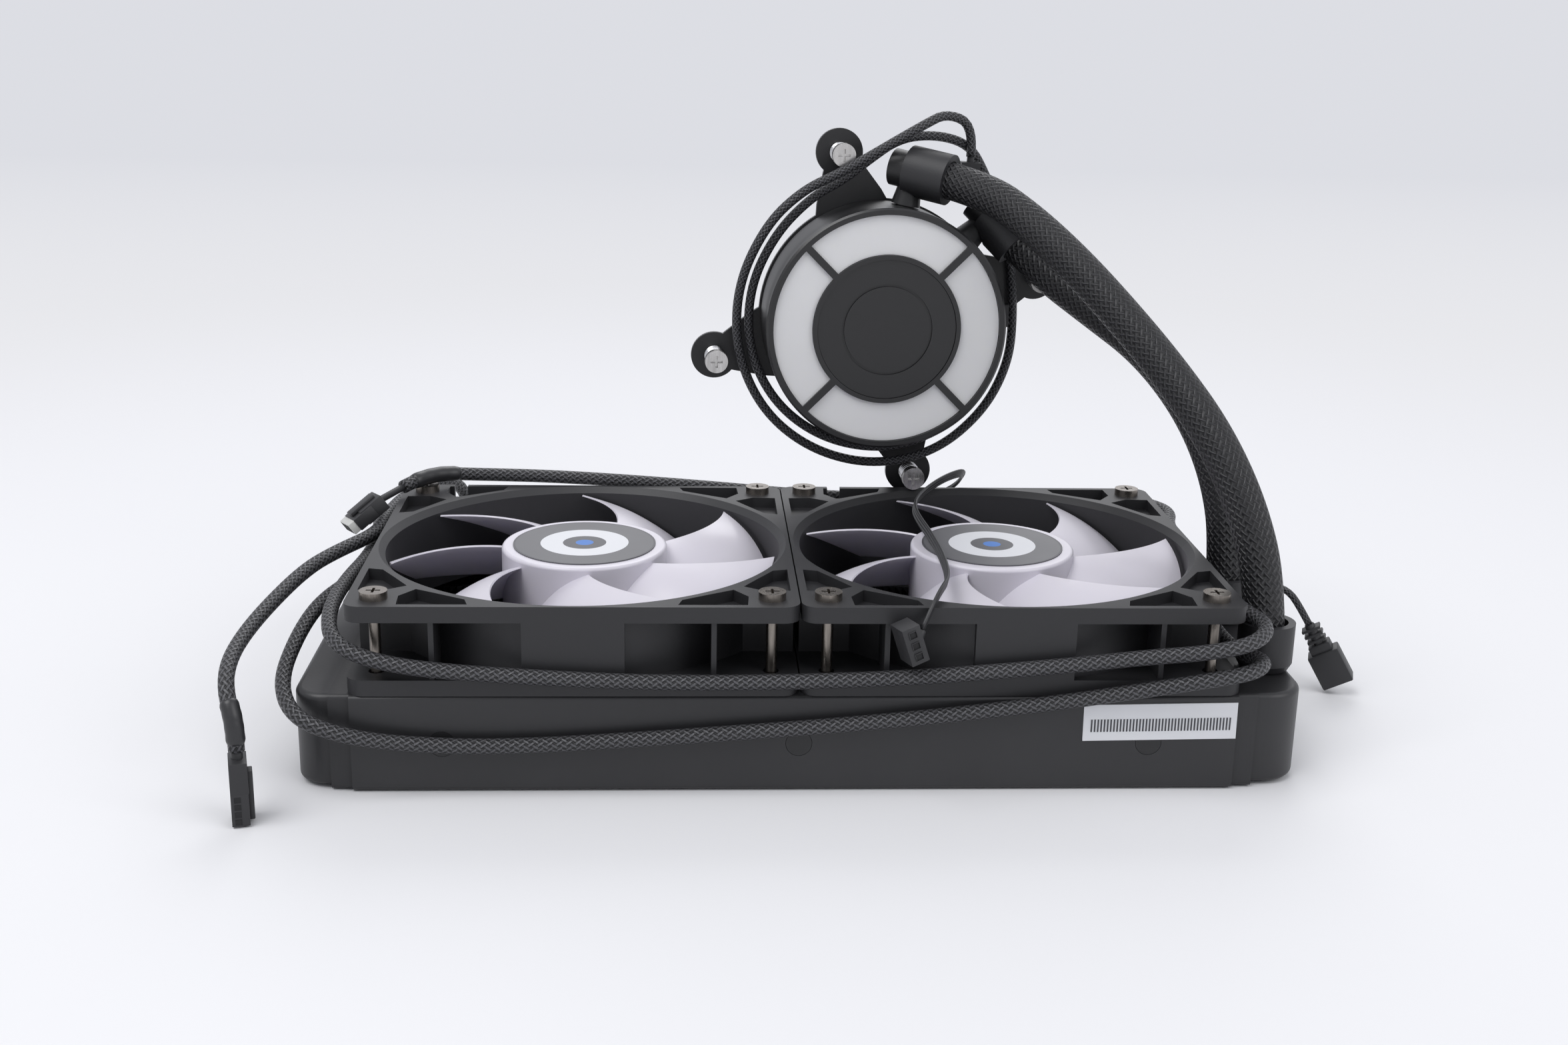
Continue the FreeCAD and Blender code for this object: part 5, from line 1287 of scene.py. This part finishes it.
@dataclass
class FinPack:
    """The folded fins between the radiator's flat tubes."""

    rows: int = 12
    row_pitch: float = 0.0092
    first_row: float = -0.0506
    count: int = 210
    pitch: float = 0.0011
    first_x: float = -0.11495
    low: float = 0.0045
    high: float = 0.0225
    width: float = 0.00748
    sheet: float = 0.00012
    lean_degrees: float = 8.5

    def tree(self, material: bpy.types.Material) -> bpy.types.NodeTree:
        """The node tree that lays out the fins.

        Args:
            material: The fins' finish.

        Returns:
            The geometry node tree.
        """
        g = GroupBuilder("Folded fins", "GeometryNodeTree", {
            "Geometry": ("Geometry", None), "Rows": ("Int", self.rows), "Fins a row": ("Int", self.count),
            "Row pitch": ("Float", self.row_pitch), "Fin pitch": ("Float", self.pitch),
            "Lean": ("Float", math.radians(self.lean_degrees)),
            "First fin": ("Vector", (self.first_x, self.first_row, (self.low + self.high) / 2)),
            "Fin size": ("Vector", (self.sheet, self.width, self.high - self.low)),
        }, {"Geometry": "Geometry"})
        index = g.node("GeometryNodeInputIndex").outputs[0]
        column = g.math("MODULO", index, g["Fins a row"])
        row = g.math("FLOOR", g.math("DIVIDE", g.math("ADD", index, 0.5), g["Fins a row"]))
        shift = g.node("ShaderNodeCombineXYZ", {0: g.math("MULTIPLY", column, g["Fin pitch"]),
                                                1: g.math("MULTIPLY", row, g["Row pitch"])}).outputs[0]
        place = g.node("ShaderNodeVectorMath", {0: shift, 1: g["First fin"]}, operation="ADD").outputs[0]
        points = g.node("GeometryNodePoints", {"Count": g.math("MULTIPLY", g["Rows"], g["Fins a row"]),
                                               "Position": place}).outputs[0]
        side = g.math("SUBTRACT", g.math("MULTIPLY", g.math("MODULO", column, 2.0), 2.0), 1.0)
        turn = g.node("ShaderNodeCombineXYZ", {2: g.math("MULTIPLY", side, g["Lean"])}).outputs[0]
        panel = g.node("GeometryNodeMeshCube", {"Size": g["Fin size"]}).outputs["Mesh"]
        return g.copies(points, panel, material, turn)

    def build(self, palette: Palette) -> None:
        """Builds the fins in place of the source's coarse ones."""
        own(laid_out("folded_fins", self.tree(palette["fin_black"])), "core_black", "core_fins")


@dataclass
class StickerBars:
    """Even bars on the plain sticker, all alike."""

    count: int = 44
    pitch: float = 0.00088
    rise_degrees: float = 0.8
    first: Point = (0.0790, -0.06037, 0.0186)
    size: Point = (0.00042, 0.00006, 0.0036)

    def tree(self, material: bpy.types.Material) -> bpy.types.NodeTree:
        """The node tree that lays out the bars.

        Args:
            material: The bars' finish.

        Returns:
            The geometry node tree.
        """
        rise = self.pitch * math.tan(math.radians(self.rise_degrees))
        g = GroupBuilder("Even bars", "GeometryNodeTree", {
            "Geometry": ("Geometry", None), "Bars": ("Int", self.count),
            "Step": ("Vector", (self.pitch, 0.0, rise)), "First bar": ("Vector", self.first),
            "Bar size": ("Vector", self.size),
        }, {"Geometry": "Geometry"})
        row = g.node("GeometryNodeMeshLine", {"Count": g["Bars"], "Start Location": g["First bar"],
                                              "Offset": g["Step"]}).outputs[0]
        bar = g.node("GeometryNodeMeshCube", {"Size": g["Bar size"]}).outputs["Mesh"]
        return g.copies(row, bar, material)

    def build(self, palette: Palette) -> None:
        """Builds the bars."""
        own(laid_out("sticker_bars", self.tree(palette["sticker_print"])), "sticker_white")


# Finishes on the source's own pieces

@dataclass(frozen=True)
class Ring:
    """One printed ring: its inner and outer radius in metres and its colour."""

    inner: float
    outer: float
    colour: Colour


@dataclass
class HubLabels:
    """The round labels on the fan hubs."""

    base: Colour = (0.115, 0.115, 0.125)
    rings: tuple[Ring, ...] = (
        Ring(0.0, 0.0128, (0.72, 0.73, 0.77)),
        Ring(0.0, 0.0063, (0.075, 0.076, 0.085)),
        Ring(0.0, 0.0026, (0.03, 0.17, 0.56)),
        Ring(0.0201, 0.0207, (0.07, 0.07, 0.08)),
    )

    def build(self, palette: Palette) -> None:
        """Prints the labels on both hubs.

        Args:
            palette: The finishes.
        """
        group = rings_group()
        for side in ("left", "right"):
            low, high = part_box("hub_label_" + side)
            middle = ((low[0] + high[0]) / 2, (low[1] + high[1]) / 2, 0.0)
            material = palette["label_silver"].copy()
            material.name = "hub_print_" + side
            tools = NodeTools(material.node_tree)
            skin = next(n for n in material.node_tree.nodes if n.type == "GROUP")
            colour = opaque(self.base)
            for ring in self.rings:
                colour = tools.node("ShaderNodeGroup", {
                    "Middle": middle, "Inner": ring.inner, "Outer": ring.outer,
                    "Ring": opaque(ring.colour), "Below": colour,
                }, node_tree=group).outputs["Colour"]
            for name in ("Colour", "Worn colour"):
                tools.fill(skin.inputs[name], colour)
            paint(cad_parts["hub_label_" + side], material)


@dataclass
class Dressing:
    """Finishes for the source nodes that keep their shape."""

    finishes: dict[str, tuple[str, ...]] = field(default_factory=lambda: {
        "coated_sheet": ("side_plate_front", "side_plate_back", "tank_left", "tank_right"),
        "coated_core": ("core_tubes", "core_bars", "header_left", "header_right"),
        "frame_moulding": ("fan_frame_left", "fan_frame_right"),
        "rotor_pearl": ("fan_rotor_left", "fan_rotor_right"),
        "screw_nickel": ("fan_screws", "cold_plate_screws"),
        "bright_steel": ("rotor_ring_left", "rotor_ring_right", "rotor_shaft_left", "rotor_shaft_right",
                         "impeller_shaft"),
        "screw_black": ("side_screws",),
        "bracket_coat": ("bracket",),
        "bronze": ("fan_bearings",),
        "board_green": ("fan_boards", "pump_board"),
        "winding": ("fan_stators", "pump_stator"),
        "pump_moulding": ("pump_housing", "elbows"),
        "face_satin": ("face_ring", "face_disc"),
        "window_frosted": ("face_window",),
        "copper": ("cold_plate",),
        "impeller_grey": ("impeller",),
        "rubber_sleeve": ("hose_collars_pump", "hose_collars_radiator"),
        "plug_nylon": ("pump_plug",),
        "bright_screw": ("spring_screw_top", "spring_screw_left", "spring_screw_bottom",
                         "spring_screw_right"),
        "spring_wire": ("spring_top", "spring_left", "spring_bottom", "spring_right"),
        "sticker_film": ("plate_sticker",),
    })

    def dress(self, palette: Palette) -> None:
        """Paints every source node.

        Args:
            palette: The finishes.
        """
        for finish, names in self.finishes.items():
            for name in names:
                paint(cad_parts[name], palette[finish])
        LOG.info("dressed %d source nodes", sum(len(n) for n in self.finishes.values()))


def main() -> None:
    """Builds the scene in order."""
    logging.basicConfig(level=logging.INFO, format="%(name)s: %(message)s")
    bpy.context.scene.view_settings.view_transform = "Standard"
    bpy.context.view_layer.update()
    palette = Palette()
    palette.build()
    for plug in (upper_plug(), table_plug(), right_plug(), front_plug()):
        plug.build(palette)
    Cords().build(palette)
    Studio().build()
    Dressing().dress(palette)
    HubLabels().build(palette)
    FinPack().build(palette)
    StickerBars().build(palette)


if __name__ == "__main__":
    main()
